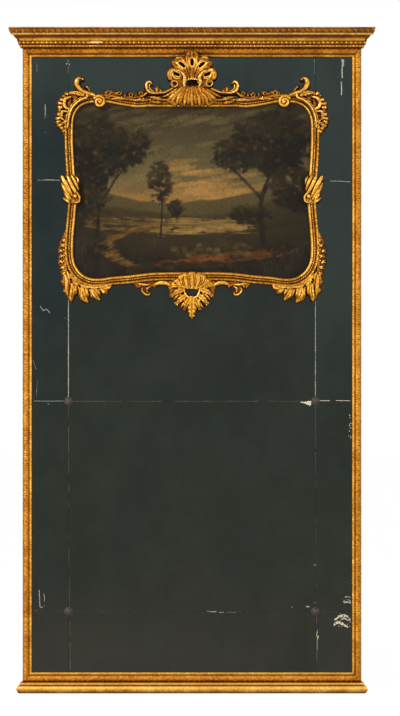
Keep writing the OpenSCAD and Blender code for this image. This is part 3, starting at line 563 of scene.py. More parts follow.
@dataclass(frozen=True)
class Silvering(Finish):
    """Old mirror plate: hand-ground glass over aged tin and mercury silvering.

    The eye sees a dark grey-green mirror, clouded in soft patches, with faintly wavy reflections. The tones by height
    and column are partly the single plates' own tints and partly a painted reflection of a room.

    Args:
        rise: Height over which the tones run, in metres.
    """

    rise: float = 2.3

    def surface(self, g: Graph) -> dict:
        """Builds the silvering.

        Args:
            g: The material's nodes.

        Returns:
            The shader's inputs.
        """
        parts = g.add("ShaderNodeSeparateXYZ", [g.place])
        height = g.add(MATH, [parts.outputs[2], self.rise], operation="DIVIDE")
        wander = g.add(NOISE, {"Detail": 2, "Roughness": 0.55}, (420, 420, 300))
        level = g.add(MATH, [height, g.add(SPAN, [wander, 0.3, 0.7, -0.05, 0.05])], operation="ADD")
        # The tones by height: the plates' own tints and a painted reflection of a room.
        plate_and_reflected_tones = "#383630 #34342e #2f342d #2e332e #2b3231 #2c3434 #36403d"
        colour = g.add(RAMP, [level], stops=list(zip((0.04, 0.13, 0.22, 0.56, 0.74, 0.84, 0.92), plate_and_reflected_tones.split())))
        upper = g.add(SPAN, [height, 0.42, 0.62, 0.0, 0.7])
        lower = g.add(MATH, [upper, g.add(SPAN, [height, 0.86, 0.93, 1.0, 0.0])], operation="MULTIPLY")
        # The side plates begin at the joints, 0.4325 m from the middle; their tints are partly painted reflection.
        left = [lower, g.add(SPAN, [parts.outputs[0], -0.4328, -0.4322, 1.0, 0.0])]
        right = [upper, g.add(SPAN, [parts.outputs[0], 0.4322, 0.4328, 0.0, 1.0])]
        cloud = g.add(NOISE, {"Detail": 5, "Roughness": 0.7}, (150, 150, 150))
        cloud = g.add(SPAN, [cloud, 0.42, 0.75, 0.0, 0.3])
        shade = g.add(NOISE, {"Detail": 3, "Roughness": 0.6}, (240, 240, 420))
        for share, code in (
            (g.add(MATH, left, operation="MULTIPLY"), "#273133"),
            (g.add(MATH, right, operation="MULTIPLY"), "#3a403c"),
            (cloud, "#3f443e"),
            (g.add(SPAN, [shade, 0.5, 0.72, 0.0, 0.4]), "#262b2a"),
        ):
            colour = g.add(MIX, {0: share, 6: colour, 7: linear(code)}, data_type="RGBA")
        wave = g.add(NOISE, {"Detail": 1, "Roughness": 0.55}, (260, 260, 260))
        return {
            "Base Color": colour,
            "Metallic": 1.0,
            "Roughness": g.add(SPAN, [cloud, 0.0, 0.3, 0.035, 0.14]),
            "Normal": g.add(BUMP, {"Distance": 0.5 * METRE, "Height": wave}),
        }


@dataclass(frozen=True)
class LossAndEdgeHighlight(Finish):
    """Lost silvering and painted edge highlights: bare glass edges and putty, chalky and pale or brown, in the tone
    that the piece carries.
    """

    def surface(self, g: Graph) -> dict:
        """Builds the marks.

        Args:
            g: The material's nodes.

        Returns:
            The shader's inputs.
        """
        tone = g.add(ATTRIBUTE, attribute_name="hollow").outputs["Fac"]
        play = g.add(NOISE, {"Detail": 3, "Roughness": 0.55}, (5, 5, 5))
        tone = g.add(MATH, [tone, g.add(SPAN, [play, 0.3, 0.7, -0.08, 0.08])], operation="ADD", use_clamp=True)
        stops = [(0.0, "#1d1a17"), (0.2, "#4a2a1b"), (0.45, "#5b605a"), (0.7, "#9aa09a"), (1.0, "#d9cfae")]
        return {"Base Color": g.add(RAMP, [tone], stops=stops), "Roughness": 0.55, "Specular IOR Level": 0.2}


@dataclass(frozen=True)
class Polish(Finish):
    """A smooth old surface with dull stains: turned and polished boss wood, cast brass or forged iron.

    Args:
        base: Main colour.
        stain: Colour of the stains.
        metallic: Whether it is a metal.
        roughness: Roughness where it is clean.
    """

    base: str = "#362c26"
    stain: str = "#291e1a"
    metallic: bool = False
    roughness: float = 0.28

    def surface(self, g: Graph) -> dict:
        """Builds the surface.

        Args:
            g: The material's nodes.

        Returns:
            The shader's inputs.
        """
        patch = g.add(NOISE, {"Detail": 4, "Roughness": 0.6}, (6, 6, 6))
        mask = g.add(SPAN, [patch, 0.4, 0.68, 0.0, 0.75])
        return {
            "Base Color": g.add(MIX, {0: mask, 6: linear(self.base), 7: linear(self.stain)}, data_type="RGBA"),
            "Metallic": float(self.metallic),
            "Roughness": g.add(SPAN, [patch, 0.3, 0.7, self.roughness, self.roughness + 0.28]),
            "Normal": g.add(BUMP, {"Distance": 0.12 * METRE, "Height": patch}),
        }


@dataclass(frozen=True)
class Paint(Finish):
    """Oil paint under aged varnish on linen, in the mesh's own colours.

    The eye sees dark, soft colours, fine cracks and the weave where the paint is thin. Real threads are 0.6 mm
    apart and real cracks 3 to 5 mm: the weave is drawn at 1.3 mm and the cracks at 14 to 18 mm, so that they show.
    """

    def surface(self, g: Graph) -> dict:
        """Builds the paint.

        Args:
            g: The material's nodes.

        Returns:
            The shader's inputs.
        """
        base = g.add(ATTRIBUTE, attribute_name="paint").outputs["Color"]
        warp, weft = (g.add(NOISE, {"Detail": 2, "Roughness": 0.6}, size) for size in ((1.3, 4, 30), (30, 4, 1.3)))
        thin = g.add(NOISE, {"Detail": 3, "Roughness": 0.55}, (160, 20, 160))
        cells = (1000 / 70, 1000 / 70, 1000 / 55)
        cracks = g.add("ShaderNodeTexVoronoi", size=cells, feature="DISTANCE_TO_EDGE")
        line = g.add(SPAN, [cracks, 0.0, 0.05, 0.4, 0.0])
        cracked = g.add(MIX, {0: line, 6: base, 7: linear("#14100c")}, data_type="RGBA")
        bare = g.add(MATH, [warp, thin], operation="MULTIPLY")
        worn = g.add(SPAN, [bare, 0.27, 0.45, 0.0, 0.12])
        weave = g.add(MATH, [warp, weft], operation="ADD")
        height = g.add(MATH, [weave, g.add(MATH, [line, -2.0], operation="MULTIPLY")], operation="ADD")
        return {
            "Base Color": g.add(MIX, {0: worn, 6: cracked, 7: linear("#7d7556")}, data_type="RGBA"),
            "Roughness": 0.5,
            "Specular IOR Level": 0.12,
            "Normal": g.add(BUMP, {"Distance": 0.25 * METRE, "Height": height}),
        }


@dataclass(frozen=True)
class Linen(Finish):
    """Bare, aged linen at the turned edges: matt, brown and thready, its 0.6 mm threads drawn at 1.2 mm."""

    def surface(self, g: Graph) -> dict:
        """Builds the linen.

        Args:
            g: The material's nodes.

        Returns:
            The shader's inputs.
        """
        threads = [g.add(NOISE, {"Detail": 2, "Roughness": 0.55}, size) for size in ((1.2, 1.2, 20), (20, 1.2, 1.2))]
        weave = g.add(MATH, threads, operation="ADD")
        half = g.add(MATH, [weave, 0.5], operation="MULTIPLY")
        return {
            "Base Color": g.add(RAMP, [half], stops=[(0.35, "#6b5a40"), (0.65, "#94805c")]),
            "Roughness": 0.9,
            "Normal": g.add(BUMP, {"Distance": 0.2 * METRE, "Height": weave}),
        }


# Gold leaf. The shifts set how dark each part is painted, and the wear how much bole shows through.
GOLD = Gilding("gilt carving", shift=0.05, wear=0.6)
BRIGHT_GOLD = Gilding("burnished gilt carving", light="#cb922f", shift=0.06, wear=0.5)
SHELL_GOLD = Gilding("burnished gilt shell", shift=0.13, wear=0.6)
DULL_GOLD = Gilding("dulled gilt carving", shift=0.09, wear=0.75)
BASE_GOLD = Gilding("burnished gilt base", "#f0c76c", "#d19a3a", wear=0.35)
BORDER_GOLD = Gilding("gilt moulding", wear=0.5)
CORNICE_GOLD = Gilding("gilt cornice", wear=0.5)
# Pine: planed boards of the carcass, and older, darker boards that have had more smoke and damp.
PINE_UP = Wood("pine upright")
PINE_ACROSS = Wood("pine across", grain=Grain.ACROSS)
OLD_UP = Wood("old pine upright", "#8a6a45", "#4f3620", Grain.UPRIGHT)
OLD_ACROSS = Wood("old pine across", "#8a6a45", "#4f3620", Grain.ACROSS)
MIRROR = Silvering("old mirror plate")
# Fruitwood stained nearly black, cast brass gone brown, and forged iron with dull rust.
BOSS_POLISH = Polish("boss polish")
BRASS = Polish("aged brass", "#a9823f", "#5a4120", True, 0.35)
IRON = Polish("old iron", "#4c4742", "#2c211b", True, 0.5)


# Relief carving


class Cut(Enum):
    """Cross-section of a carved stroke."""

    ROUND = "round"
    VEINED = "veined"

    def rise(self, u: np.ndarray) -> np.ndarray:
        """Height from 0 to 1 at u, from 0 on the middle line to 1 at the edge."""
        dome = np.sqrt(np.clip(1 - u**2, 0, 1))
        return dome - 0.4 * np.exp(-((u / 0.17) ** 2)) if self is Cut.VEINED else dome


def read_points(text: str) -> np.ndarray:
    """Reads "x,y x,y" as points of the drawing grid."""
    return np.array([pair.split(",") for pair in text.split()], float)


def read_rows(text: str) -> list[tuple[str, str, list[str]]]:
    """Reads a drawing's rows, each a word, points and then measures parted by strokes.

    Args:
        text: The drawing, such as "knob 174.6,84.2 / 4.2 33".

    Returns:
        For each row its word, its points and its measures.
    """
    rows = []
    for kind, body in re.findall(r"([a-z]+)([^a-z]+)", text):
        path, *rest = (" ".join(part.split()) for part in body.split("/"))
        rows.append((kind, path, rest))
    return rows


def nearest(x: np.ndarray, z: np.ndarray, line: np.ndarray) -> tuple[np.ndarray, np.ndarray]:
    """Returns each point's distance to every piece of a line, and the place along the piece.

    Args:
        x: The points' first coordinates.
        z: Their second ones.
        line: Corners of the line.

    Returns:
        Distances and places, with one column for each piece of the line.
    """
    start, step = line[:-1], np.diff(line, axis=0)
    rel = np.stack([x, z], -1)[..., None, :] - start
    along = np.clip((rel * step).sum(-1) / np.maximum((step * step).sum(-1), 1e-9), 0, 1)
    return np.sqrt(((rel - along[..., None] * step) ** 2).sum(-1)), along


@dataclass
class Relief:
    """Shapes carved from one block, as a height field over the glass with upright sides and a closed back.

    Args:
        low: Lowest corner of its field (x, z).
        high: Highest corner.
        pitch: Spacing of its points.
        rough: Height of the tool marks.
        seed: Seed of the tool marks.
    """

    low: tuple[float, float]
    high: tuple[float, float]
    pitch: float = 1.2
    rough: float = 1.5
    seed: int = 0
    # Sizes of the tool marks.
    MARKS: ClassVar[tuple[float, ...]] = (1.6, 4.5)
    # How wide a point's surroundings are taken, and how far under their mean height it counts as fully sunk.
    AROUND: ClassVar[tuple[tuple[float, float], ...]] = ((6.0, 12.0), (2.2, 8.5))
    # What lies less high than this over the glass is painted darker, the lower the more, as painted shade.
    LOW: ClassVar[float] = 40.0
    # The least thickness of the carving, and the least height of its sides.
    THIN: ClassVar[float] = 1.2
    SIDE: ClassVar[float] = 1.5

    def __post_init__(self) -> None:
        """Lays out the empty field: its points, how far inside the outline each lies, and its height."""
        edge = 4 * self.pitch
        xs = np.arange(self.low[0] - edge, self.high[0] + edge, self.pitch)
        zs = np.arange(self.low[1] - edge, self.high[1] + edge, self.pitch)
        self.x, self.z = np.meshgrid(xs, zs, indexing="ij")
        self.inside = np.full(self.x.shape, -99.0)
        self.top = np.full(self.x.shape, -1.0)
        self.rim = np.zeros(self.x.shape)

    def window(self, points: np.ndarray, reach: float) -> tuple[tuple[slice, slice], np.ndarray, np.ndarray]:
        """Returns the part of the grid within reach of points, and its x and z.

        Args:
            points: What the part has to hold.
            reach: How far it goes on around them.

        Returns:
            The part's slices, its x and its z.
        """
        low = (points.min(0) - reach - [self.x[0, 0], self.z[0, 0]]) / self.pitch
        high = (points.max(0) + reach - [self.x[0, 0], self.z[0, 0]]) / self.pitch
        i0, k0 = np.maximum(low.astype(int), 0)
        i1, k1 = np.maximum(high.astype(int) + 2, 1)
        part = (slice(i0, i1), slice(k0, k1))
        return part, self.x[part], self.z[part]

    def merge(self, part: tuple[slice, slice], inside: np.ndarray, height: np.ndarray) -> None:
        """Adds one shape: the outline is the union, and the higher surface wins.

        Args:
            part: The part of the grid.
            inside: How far inside the shape's outline each point lies.
            height: The shape's height above the glass.
        """
        closer = inside > self.inside[part]
        self.rim[part] = np.where(closer, height, self.rim[part])
        self.inside[part] = np.maximum(self.inside[part], inside)
        self.top[part] = np.where(inside > 0, np.maximum(self.top[part], height), self.top[part])

    def solid(self) -> Solid:
        """Builds the carving.

        Returns:
            The carving.
        """
        # The tool marks, and an end to the carving where it would be too thin.
        rng = np.random.default_rng(self.seed)
        marks = sum(smooth_noise(rng, self.x.shape, size / self.pitch) - 0.5 for size in self.MARKS)
        self.top += marks * self.rough
        self.inside[T_FACE + self.top < back_of(self.x, self.z) + self.THIN] = -1.0
        # The cells that stay, with the points just outside them pushed to the outline.
        keep = self.inside > 0
        near = spread(keep, (-1, 0, 1)) & ~keep
        cells = np.zeros_like(keep)
        cells[:-1, :-1] = keep[:-1, :-1] | keep[1:, :-1] | keep[1:, 1:] | keep[:-1, 1:]
        gx, gz = np.gradient(self.inside, self.pitch)
        push = np.clip(-self.inside / np.maximum(gx**2 + gz**2, 0.25), 0, 1.3 * self.pitch)
        x = np.where(near, self.x + push * gx, self.x)
        z = np.where(near, self.z + push * gz, self.z)
        # How sunk each point lies in its surroundings, which the finish paints darker as dirt and painted shade, and
        # how low it lies over the glass, which it paints darker as painted shade.
        height = np.where(keep, self.top, np.maximum(self.rim, self.SIDE))
        part = keep.astype(float)
        sunk = np.zeros_like(height)
        for reach, depth in self.AROUND:
            cells_wide = reach / self.pitch
            mean = blurred(height * part, cells_wide) / np.maximum(blurred(part, cells_wide), 0.02)
            sunk += (mean - height) / depth
        sunk += np.clip((self.LOW - height) / 36.0, -0.12, 0.8)
        # Front points, and as many back points behind them.
        front = np.minimum(T_FACE + height, T_LIMIT)
        used = spread(cells, (0, 1))
        number = np.full(keep.shape, -1)
        count = int(used.sum())
        number[used] = np.arange(count)
        xs, zs, fronts = x[used], z[used], front[used]
        backs = np.minimum(back_of(xs, zs), fronts - 0.3)
        points = np.concatenate([np.stack([xs, -fronts, zs], 1), np.stack([xs, -backs, zs], 1)])
        # Faces of the front and the back, then the upright sides where a cell has no neighbour.
        i, k = np.nonzero(cells)
        face = np.stack([number[i, k], number[i + 1, k], number[i + 1, k + 1], number[i, k + 1]], 1)
        quads = [face, face[:, ::-1] + count]
        sides = (
            ((-1, 0), (0, 0), (0, 1)),
            ((1, 0), (1, 1), (1, 0)),
            ((0, -1), (1, 0), (0, 0)),
            ((0, 1), (0, 1), (1, 1)),
        )
        for (ni, nk), first, second in sides:
            beyond = ~cells[(i + ni) % cells.shape[0], (k + nk) % cells.shape[1]]
            bi, bk = i[beyond], k[beyond]
            a, b = number[bi + first[0], bk + first[1]], number[bi + second[0], bk + second[1]]
            quads.append(np.stack([a, b, b + count, a + count], 1))
        hollow = np.concatenate([np.clip(sunk[used], -1, 1), np.full(count, 0.95)])
        return Solid(points, np.concatenate(quads), hollow=hollow)


@dataclass(frozen=True)
class Stroke:
    """A tapered carved stroke. Points and half-widths are in grid steps, heights in millimetres above the glass.

    Args:
        path: Points along its middle.
        widths: Half-widths along it.
        lifts: Heights of its edges along it.
        rise: Height of its crest above its edges.
        cut: Cross-section.
    """

    path: str
    widths: str
    lifts: str
    rise: float
    cut: Cut = Cut.ROUND

    def carve(self, relief: Relief, points: np.ndarray) -> None:
        """Carves it along the given points, in millimetres.

        Args:
            relief: What it is carved on.
            points: Points along its middle.
        """
        middle = spline(points, 5)
        share = np.linspace(0, 1, len(middle))
        half, lift = between(numbers(self.widths), share) * GRID, between(numbers(self.lifts), share)
        part, x, z = relief.window(middle, half.max() + 3 * relief.pitch)
        gap, along = nearest(x, z, middle)
        wide = half[:-1] + np.diff(half) * along
        best = np.argmax(wide - gap, -1)[..., None]
        gap, along, wide = (np.take_along_axis(v, best, -1)[..., 0] for v in (gap, along, wide))
        best = best[..., 0]
        base = lift[best] + np.diff(lift)[best] * along
        crest = self.rise * np.minimum(1, (wide / (2.0 * GRID)) ** 0.6)
        relief.merge(part, wide - gap, base + crest * self.cut.rise(np.clip(gap / wide, 0, 1)))


@dataclass(frozen=True)
class Knob:
    """A carved dome, or a ring with a sunk eye.

    Args:
        path: Its centre on the grid.
        radius: Radius in grid steps.
        lift: Height of its edge above the glass.
        rise: Height of its crest above its edge.
        eye: Radius of the sunk eye in grid steps, or 0 for a dome.
    """

    path: str
    radius: float
    lift: float
    rise: float
    eye: float = 0.0

    def carve(self, relief: Relief, points: np.ndarray) -> None:
        """Carves it at the given point, in millimetres.

        Args:
            relief: What it is carved on.
            points: Its centre.
        """
        radius, eye = self.radius * GRID, self.eye * GRID
        part, x, z = relief.window(points, radius + 3 * relief.pitch)
        gap = np.hypot(x - points[0, 0], z - points[0, 1])
        u = np.abs(gap - (radius + eye) / 2) / ((radius - eye) / 2) if eye else gap / radius
        relief.merge(part, radius - gap, self.lift + self.rise * np.sqrt(1 - np.clip(u, 0, 1) ** 2))


@dataclass(frozen=True)
class Mass:
    """The block that a group of leaves is carved on: a rounded slab inside an outline.

    Args:
        path: Its outline on the grid.
        lift: Height of its edge above the glass, at the outline's first point.
        rise: Height of its middle above its edge.
        tilt: Change of its height with each grid step to the right and down.
        reach: Width of its rounded edge, in millimetres.
    """

    path: str
    lift: float
    rise: float
    tilt: tuple[float, float]
    reach: float

    def carve(self, relief: Relief, points: np.ndarray) -> None:
        """Carves it with the given outline, in millimetres.

        Args:
            relief: What it is carved on.
            points: Its outline.
        """
        first = points[0]
        outline = np.concatenate([spline(points, 4), points[:1]])
        part, x, z = relief.window(outline, 4 * relief.pitch)
        gap = nearest(x, z, outline)[0].min(-1)
        a, b = outline[:-1], outline[1:]
        span = b[:, 1] - a[:, 1]
        span = np.where(np.abs(span) < 1e-9, 1e-9, span)
        cross = a[:, 0] + (z[..., None] - a[:, 1]) * (b - a)[:, 0] / span
        hits = ((a[:, 1] > z[..., None]) != (b[:, 1] > z[..., None])) & (x[..., None] < cross)
        inside = np.where(hits.sum(-1) % 2 == 1, gap, -gap)
        slope = ((x - first[0]) * self.tilt[0] - (z - first[1]) * self.tilt[1]) / GRID
        u = 1 - np.clip(inside / self.reach, 0, 1)
        relief.merge(part, inside, self.lift + slope + self.rise * np.sqrt(1 - u**2))


@dataclass(frozen=True)
class Slot:
    """A pierced slot, or a deep one whose floor the finish paints dark, as painted shade.

    Args:
        path: Points along its middle, on the grid.
        radius: Half its width in grid steps.
        floor: Height of its floor above the glass, or 0 where it goes through.
    """

    path: str
    radius: float
    floor: float = 0.0

    def carve(self, relief: Relief, points: np.ndarray) -> None:
        """Cuts it along the given points, in millimetres.

        Args:
            relief: What it is cut into.
            points: Points along its middle.
        """
        line = np.concatenate([points, points[-1:] + 0.01])
        part, x, z = relief.window(line, self.radius * GRID + 3 * relief.pitch)
        gap = nearest(x, z, line)[0].min(-1)
        if self.floor:
            relief.top[part] = np.where(gap < self.radius * GRID, self.floor, relief.top[part])
        else:
            relief.inside[part] = np.minimum(relief.inside[part], gap - self.radius * GRID)


@dataclass(frozen=True)
class Groove:
    """A rounded groove cut into what is already carved.

    Args:
        path: Points along its middle, on the grid.
        radius: Half its width in grid steps.
        depth: Its depth in millimetres.
    """

    path: str
    radius: float
    depth: float

    def carve(self, relief: Relief, points: np.ndarray) -> None:
        """Cuts it along the given points, in millimetres.

        Args:
            relief: What it is cut into.
            points: Points along its middle.
        """
        line = spline(points, 4)
        wide = self.radius * GRID
        part, x, z = relief.window(line, 3 * wide)
        gap, along = nearest(x, z, line)
        best = np.argmin(gap, -1)[..., None]
        share = (best + np.take_along_axis(along, best, -1))[..., 0] / (len(line) - 1)
        gap = gap.min(-1)
        cut = self.depth * np.exp(-((gap / wide) ** 2)) * np.minimum(1, 0.35 + 2.4 * np.minimum(share, 1 - share))
        relief.top[part] -= np.where(relief.inside[part] > 0, cut, 0)


Shape = Stroke | Knob | Mass | Slot | Groove


def acanthus(path: str, width: float, lifts: str, lobes: int, rise: float) -> list[Shape]:
    """An acanthus leaf: a veined blade with lobes along both sides.

    Args:
        path: Points from its root to its tip.
        width: Its half-width in grid steps.
        lifts: Heights of its edge from root to tip.
        lobes: Pairs of side lobes.
        rise: Height of its crest.

    Returns:
        Its strokes.
    """
    blade = spline(read_points(path), 8)
    shapes: list[Shape] = [
        Stroke(path, f"{0.6 * width} {0.85 * width} {0.6 * width} {0.24 * width}", lifts, rise, Cut.VEINED)
    ]
    for n in range(lobes):
        share = 0.2 + 0.62 * n / max(lobes - 1, 1)
        at = int(share * (len(blade) - 2)) + 1
        along = blade[at] - blade[at - 1]
        along = along / np.hypot(*along)
        right = np.array([-along[1], along[0]])
        size = width * (1.0 - 0.55 * share)
        lift = float(between(numbers(lifts), share))
        for side in (-1, 1):
            root = blade[at] + right * side * 0.2 * size
            bend = blade[at] + (along * 0.35 + right * side * 0.75) * size
            tip = blade[at] + (along * 1.15 + right * side * 1.05) * size
            line = " ".join(f"{x:.2f},{y:.2f}" for x, y in (root, bend, tip))
            half = f"{0.4 * size} {0.5 * size} {0.18 * size}"
            shapes.append(Stroke(line, half, f"{lift} {lift + 1.5} {lift - 9}", rise * 0.9))
    return shapes


def read_drawing(text: str) -> list[Shape]:
    """Reads the cuts of an ornament.

    Args:
        text: Rows with a cut's kind and its points, then its measures in the order of its class. A round or veined
            stroke has its half-widths, its heights and its rise. A leaf has its half-width, its heights, and its
            lobes and rise. A mass has its height, rise, tilt across and down, and the reach of its edge. The others
            have only numbers.

    Returns:
        The cuts in the drawing's order.
    """
    shapes: list[Shape] = []
    for kind, path, rest in read_rows(text):
        last = numbers(rest[-1])
        if kind in (Cut.ROUND.value, Cut.VEINED.value):
            shapes.append(Stroke(path, rest[0], rest[1], last[0], Cut(kind)))
        elif kind == "leaf":
            shapes += acanthus(path, float(rest[0]), rest[1], int(last[0]), last[1])
        elif kind == "mass":
            lift, rise, right, down, reach = last
            shapes.append(Mass(path, lift, rise, (right, down), reach))
        else:
            shapes.append({"knob": Knob, "slot": Slot, "groove": Groove}[kind](path, *last))
    return shapes


class Side(Enum):
    """Where a carving stands."""

    MIDDLE = "middle"
    LEFT = "left"
    RIGHT = "right"
    BOTH = "both"


@dataclass(frozen=True)
class Carving:
    """One carved ornament on the drawing grid, drawn for the left or the middle.

    Args:
        name: Name of its piece.
        nodes: CAD nodes that it stands for.
        side: Where it stands.
        finish: Its gilding.
        slot: Its material slot in the record.
        seed: Seed of its small irregularities.
        pitch: Spacing of its points.
        wobble: How far its points stray, in grid steps.
    """

    name: str
    nodes: tuple[str, ...]
    side: Side = Side.MIDDLE
    finish: Gilding = GOLD
    slot: str = "gilding"
    seed: int = 1
    pitch: float = 1.2
    wobble: float = 0.2
    DRAWING: ClassVar[str] = ""

    def shapes(self) -> list[Shape]:
        """Returns the cuts of the ornament, its slots last."""
        return read_drawing(self.DRAWING)

    def carve(self, flip: bool, seed: int) -> Solid:
        """Carves the ornament once.

        Args:
            flip: Whether it is the right-hand one.
            seed: Seed of its irregularities.

        Returns:
            The carving.
        """
        rng = np.random.default_rng(seed)
        jobs = []
        # Each drawn point strays a little, on the mirrored half another way.
        for shape in self.shapes():
            points = read_points(shape.path)
            stray = self.wobble * (1.0 if isinstance(shape, (Stroke, Knob)) else 0.5)
            for mirror in (False, True) if self.side is Side.MIDDLE else (False,):
                drawing = points + rng.normal(0, stray, points.shape)
                if mirror:
                    drawing[:, 0] = 2 * GRID_MIDDLE - drawing[:, 0]
                jobs.append((shape, drawn(drawing)))
        every = np.concatenate([points for _, points in jobs])
        reach = 5 * GRID
        relief = Relief(tuple(every.min(0) - reach), tuple(every.max(0) + reach), self.pitch, seed=seed)
        # What stands proud is carved first, then what is cut into it.
        for shape, points in sorted(jobs, key=lambda job: isinstance(job[0], (Slot, Groove))):
            shape.carve(relief, points)
        made = relief.solid()
        return made.mirrored() if flip else made

    def build(self) -> bpy.types.Object:
        """Makes the piece.

        Returns:
            The piece.
        """
        if self.side is Side.BOTH:
            solid = Solid.joined([self.carve(False, self.seed), self.carve(True, self.seed + 50)])
        else:
            solid = self.carve(self.side is Side.RIGHT, self.seed)
        return solid.piece(self.name, self.finish, self.slot, self.nodes)


class Shell(Carving):
    """The pierced shell over the top border."""

    # The slots with a floor 2.5 mm over the glass stand for piercings, their floors painted near black as painted
    # shade.
    DRAWING = """
    mass 193.5,50.8 188.2,51.2 186,54 185,57.8 181.4,56.2 177,57 174.8,60 171.6,62 172.2,65.8 173.6,68 169.2,69.6
        166.8,73.8 167.8,78.4 171.2,81.2 174,87.6 193.5,88 / 34 4 0 0 7
    veined 192,59.4 192,54 / 2.2 3.3 / 33 32 / 5
    round 187.8,60 186.8,54.8 / 1.3 2 / 33 31 / 5
    groove 190,52 190.2,57.6 / 0.4 6
    round 189,58.4 188.6,62.4 189.2,66.6 / 1.1 1.4 1.2 / 36 38 35 / 5
    round 185,59.4 186.4,57.4 187,61 187.4,66 188.4,71 / 1 1.2 1.3 1.4 1.1 / 32 36 38 38 34 / 6
    round 173.4,62.4 177,63.4 180.4,67.2 184.6,71 / 1.3 1.7 1.6 1.3 / 32 39 40 35 / 6
    round 180.4,58.6 184,62 186,66 187,70.6 / 1.4 1.4 1.4 1.2 / 34 38 38 34 / 6
    round 175.4,61 177.6,58.6 181.4,58 / 1.2 1.7 1.3 / 32 38 35 / 6
    round 174.4,66.6 177.8,67.4 182,70.4 185.2,74.4 187.4,79 / 1.2 1.7 1.5 1.4 1.2 / 31 37 39 37 33 / 6
    round 176,70.4 171.8,71 169.4,74.4 170,78.2 173,80.2 / 1.2 2.3 2.7 2.4 1.4 / 34 39 41 39 34 / 6
    round 172.8,73.4 173.2,76.4 175.6,78.8 179.8,79 / 0.9 1.1 1.2 1 / 38 40 40 39 / 5
    round 176.4,71.2 180.6,71.6 183.8,74.8 185,78.6 183.8,82.4 184.4,86.4 / 1.1 1.6 2 2 1.6 1.1 / 37 43 45 45 40 / 6
    round 180.4,79.8 182.2,83.4 184.4,87 / 1 1.3 1.1 / 34 38 35 / 6
    round 192,67 192,73 192,79.6 / 3 4.6 3.8 / 34 33 32 / 3
    groove 190.4,67.4 189.6,73 189.2,79 / 0.3 3
    knob 174.6,84.2 / 4.2 33 10 2.2
    slot 174.6,84.2 174.9,84.3 / 1.5 24
    groove 190,79.4 187.6,71 184.4,64.6 / 0.4 5
    groove 188,80 184,73.6 178.6,69.4 / 0.4 5
    groove 191.2,68 191,79 / 0.35 4
    slot 192,60.8 192,64.8 / 1.5 2.5
    slot 180.4,63.6 183.8,66.8 / 1.35 2.5
    slot 174.8,74 178.4,75.4 / 1.5 2.5
    slot 188.8,83 192,82.6 / 2.7 2.5
    slot 187.8,84.6 192,84.8 / 2.1 2.5
    """


class Skirt(Carving):
    """The acanthus leaf that falls from the shell over the top rail."""

    DRAWING = """
    mass 193.5,87 186,86.6 180.4,87.4 176.4,89.2 172,92.6 168.4,96.4 166.2,99.8 167,102.6 171,104.2 174.8,106.6
        177.4,104.8 180.6,105.4 184,106.8 187.6,105.2 193.5,106.8 / 32 4 0 0.3 8
    """
    SIDES = """
    round 178.6,88.2 174,91.8 168.6,97.2 / 0.8 1.3 1.2 0.7 / 34 38 38 30 / 7
    round 175.4,88.8 170.6,92.6 165.2,95.6 / 0.6 0.9 0.6 / 24 32 30 / 6
    """
    TIPS = "192,106.6 188,105.2 184.2,106.6 180.2,105.2 176,106.2 171.6,104.6 167.4,102"

    def shapes(self) -> list[Shape]:
        """Returns the cuts of the ornament, its slots last.

        Returns:
            The cuts.
        """
        ribs = []
        for n, (x, y) in enumerate(read_points(self.TIPS)):
            waist = 192 - 2.5 * n
            path = f"{192 - 1.6 * n},87.2 {waist},93 {0.4 * waist + 0.6 * x},{99 - 0.25 * n} {x},{y}"
            heights = f"37 42 {47 - n * 0.6} {48 - n} {38 - n * 1.3}"
            ribs.append(Stroke(path, "0.9 1.35 1.9 2.1 1.2", heights, 6 + 2 * (n % 2 == 0)))
        return [*super().shapes(), *ribs, *read_drawing(self.SIDES)]


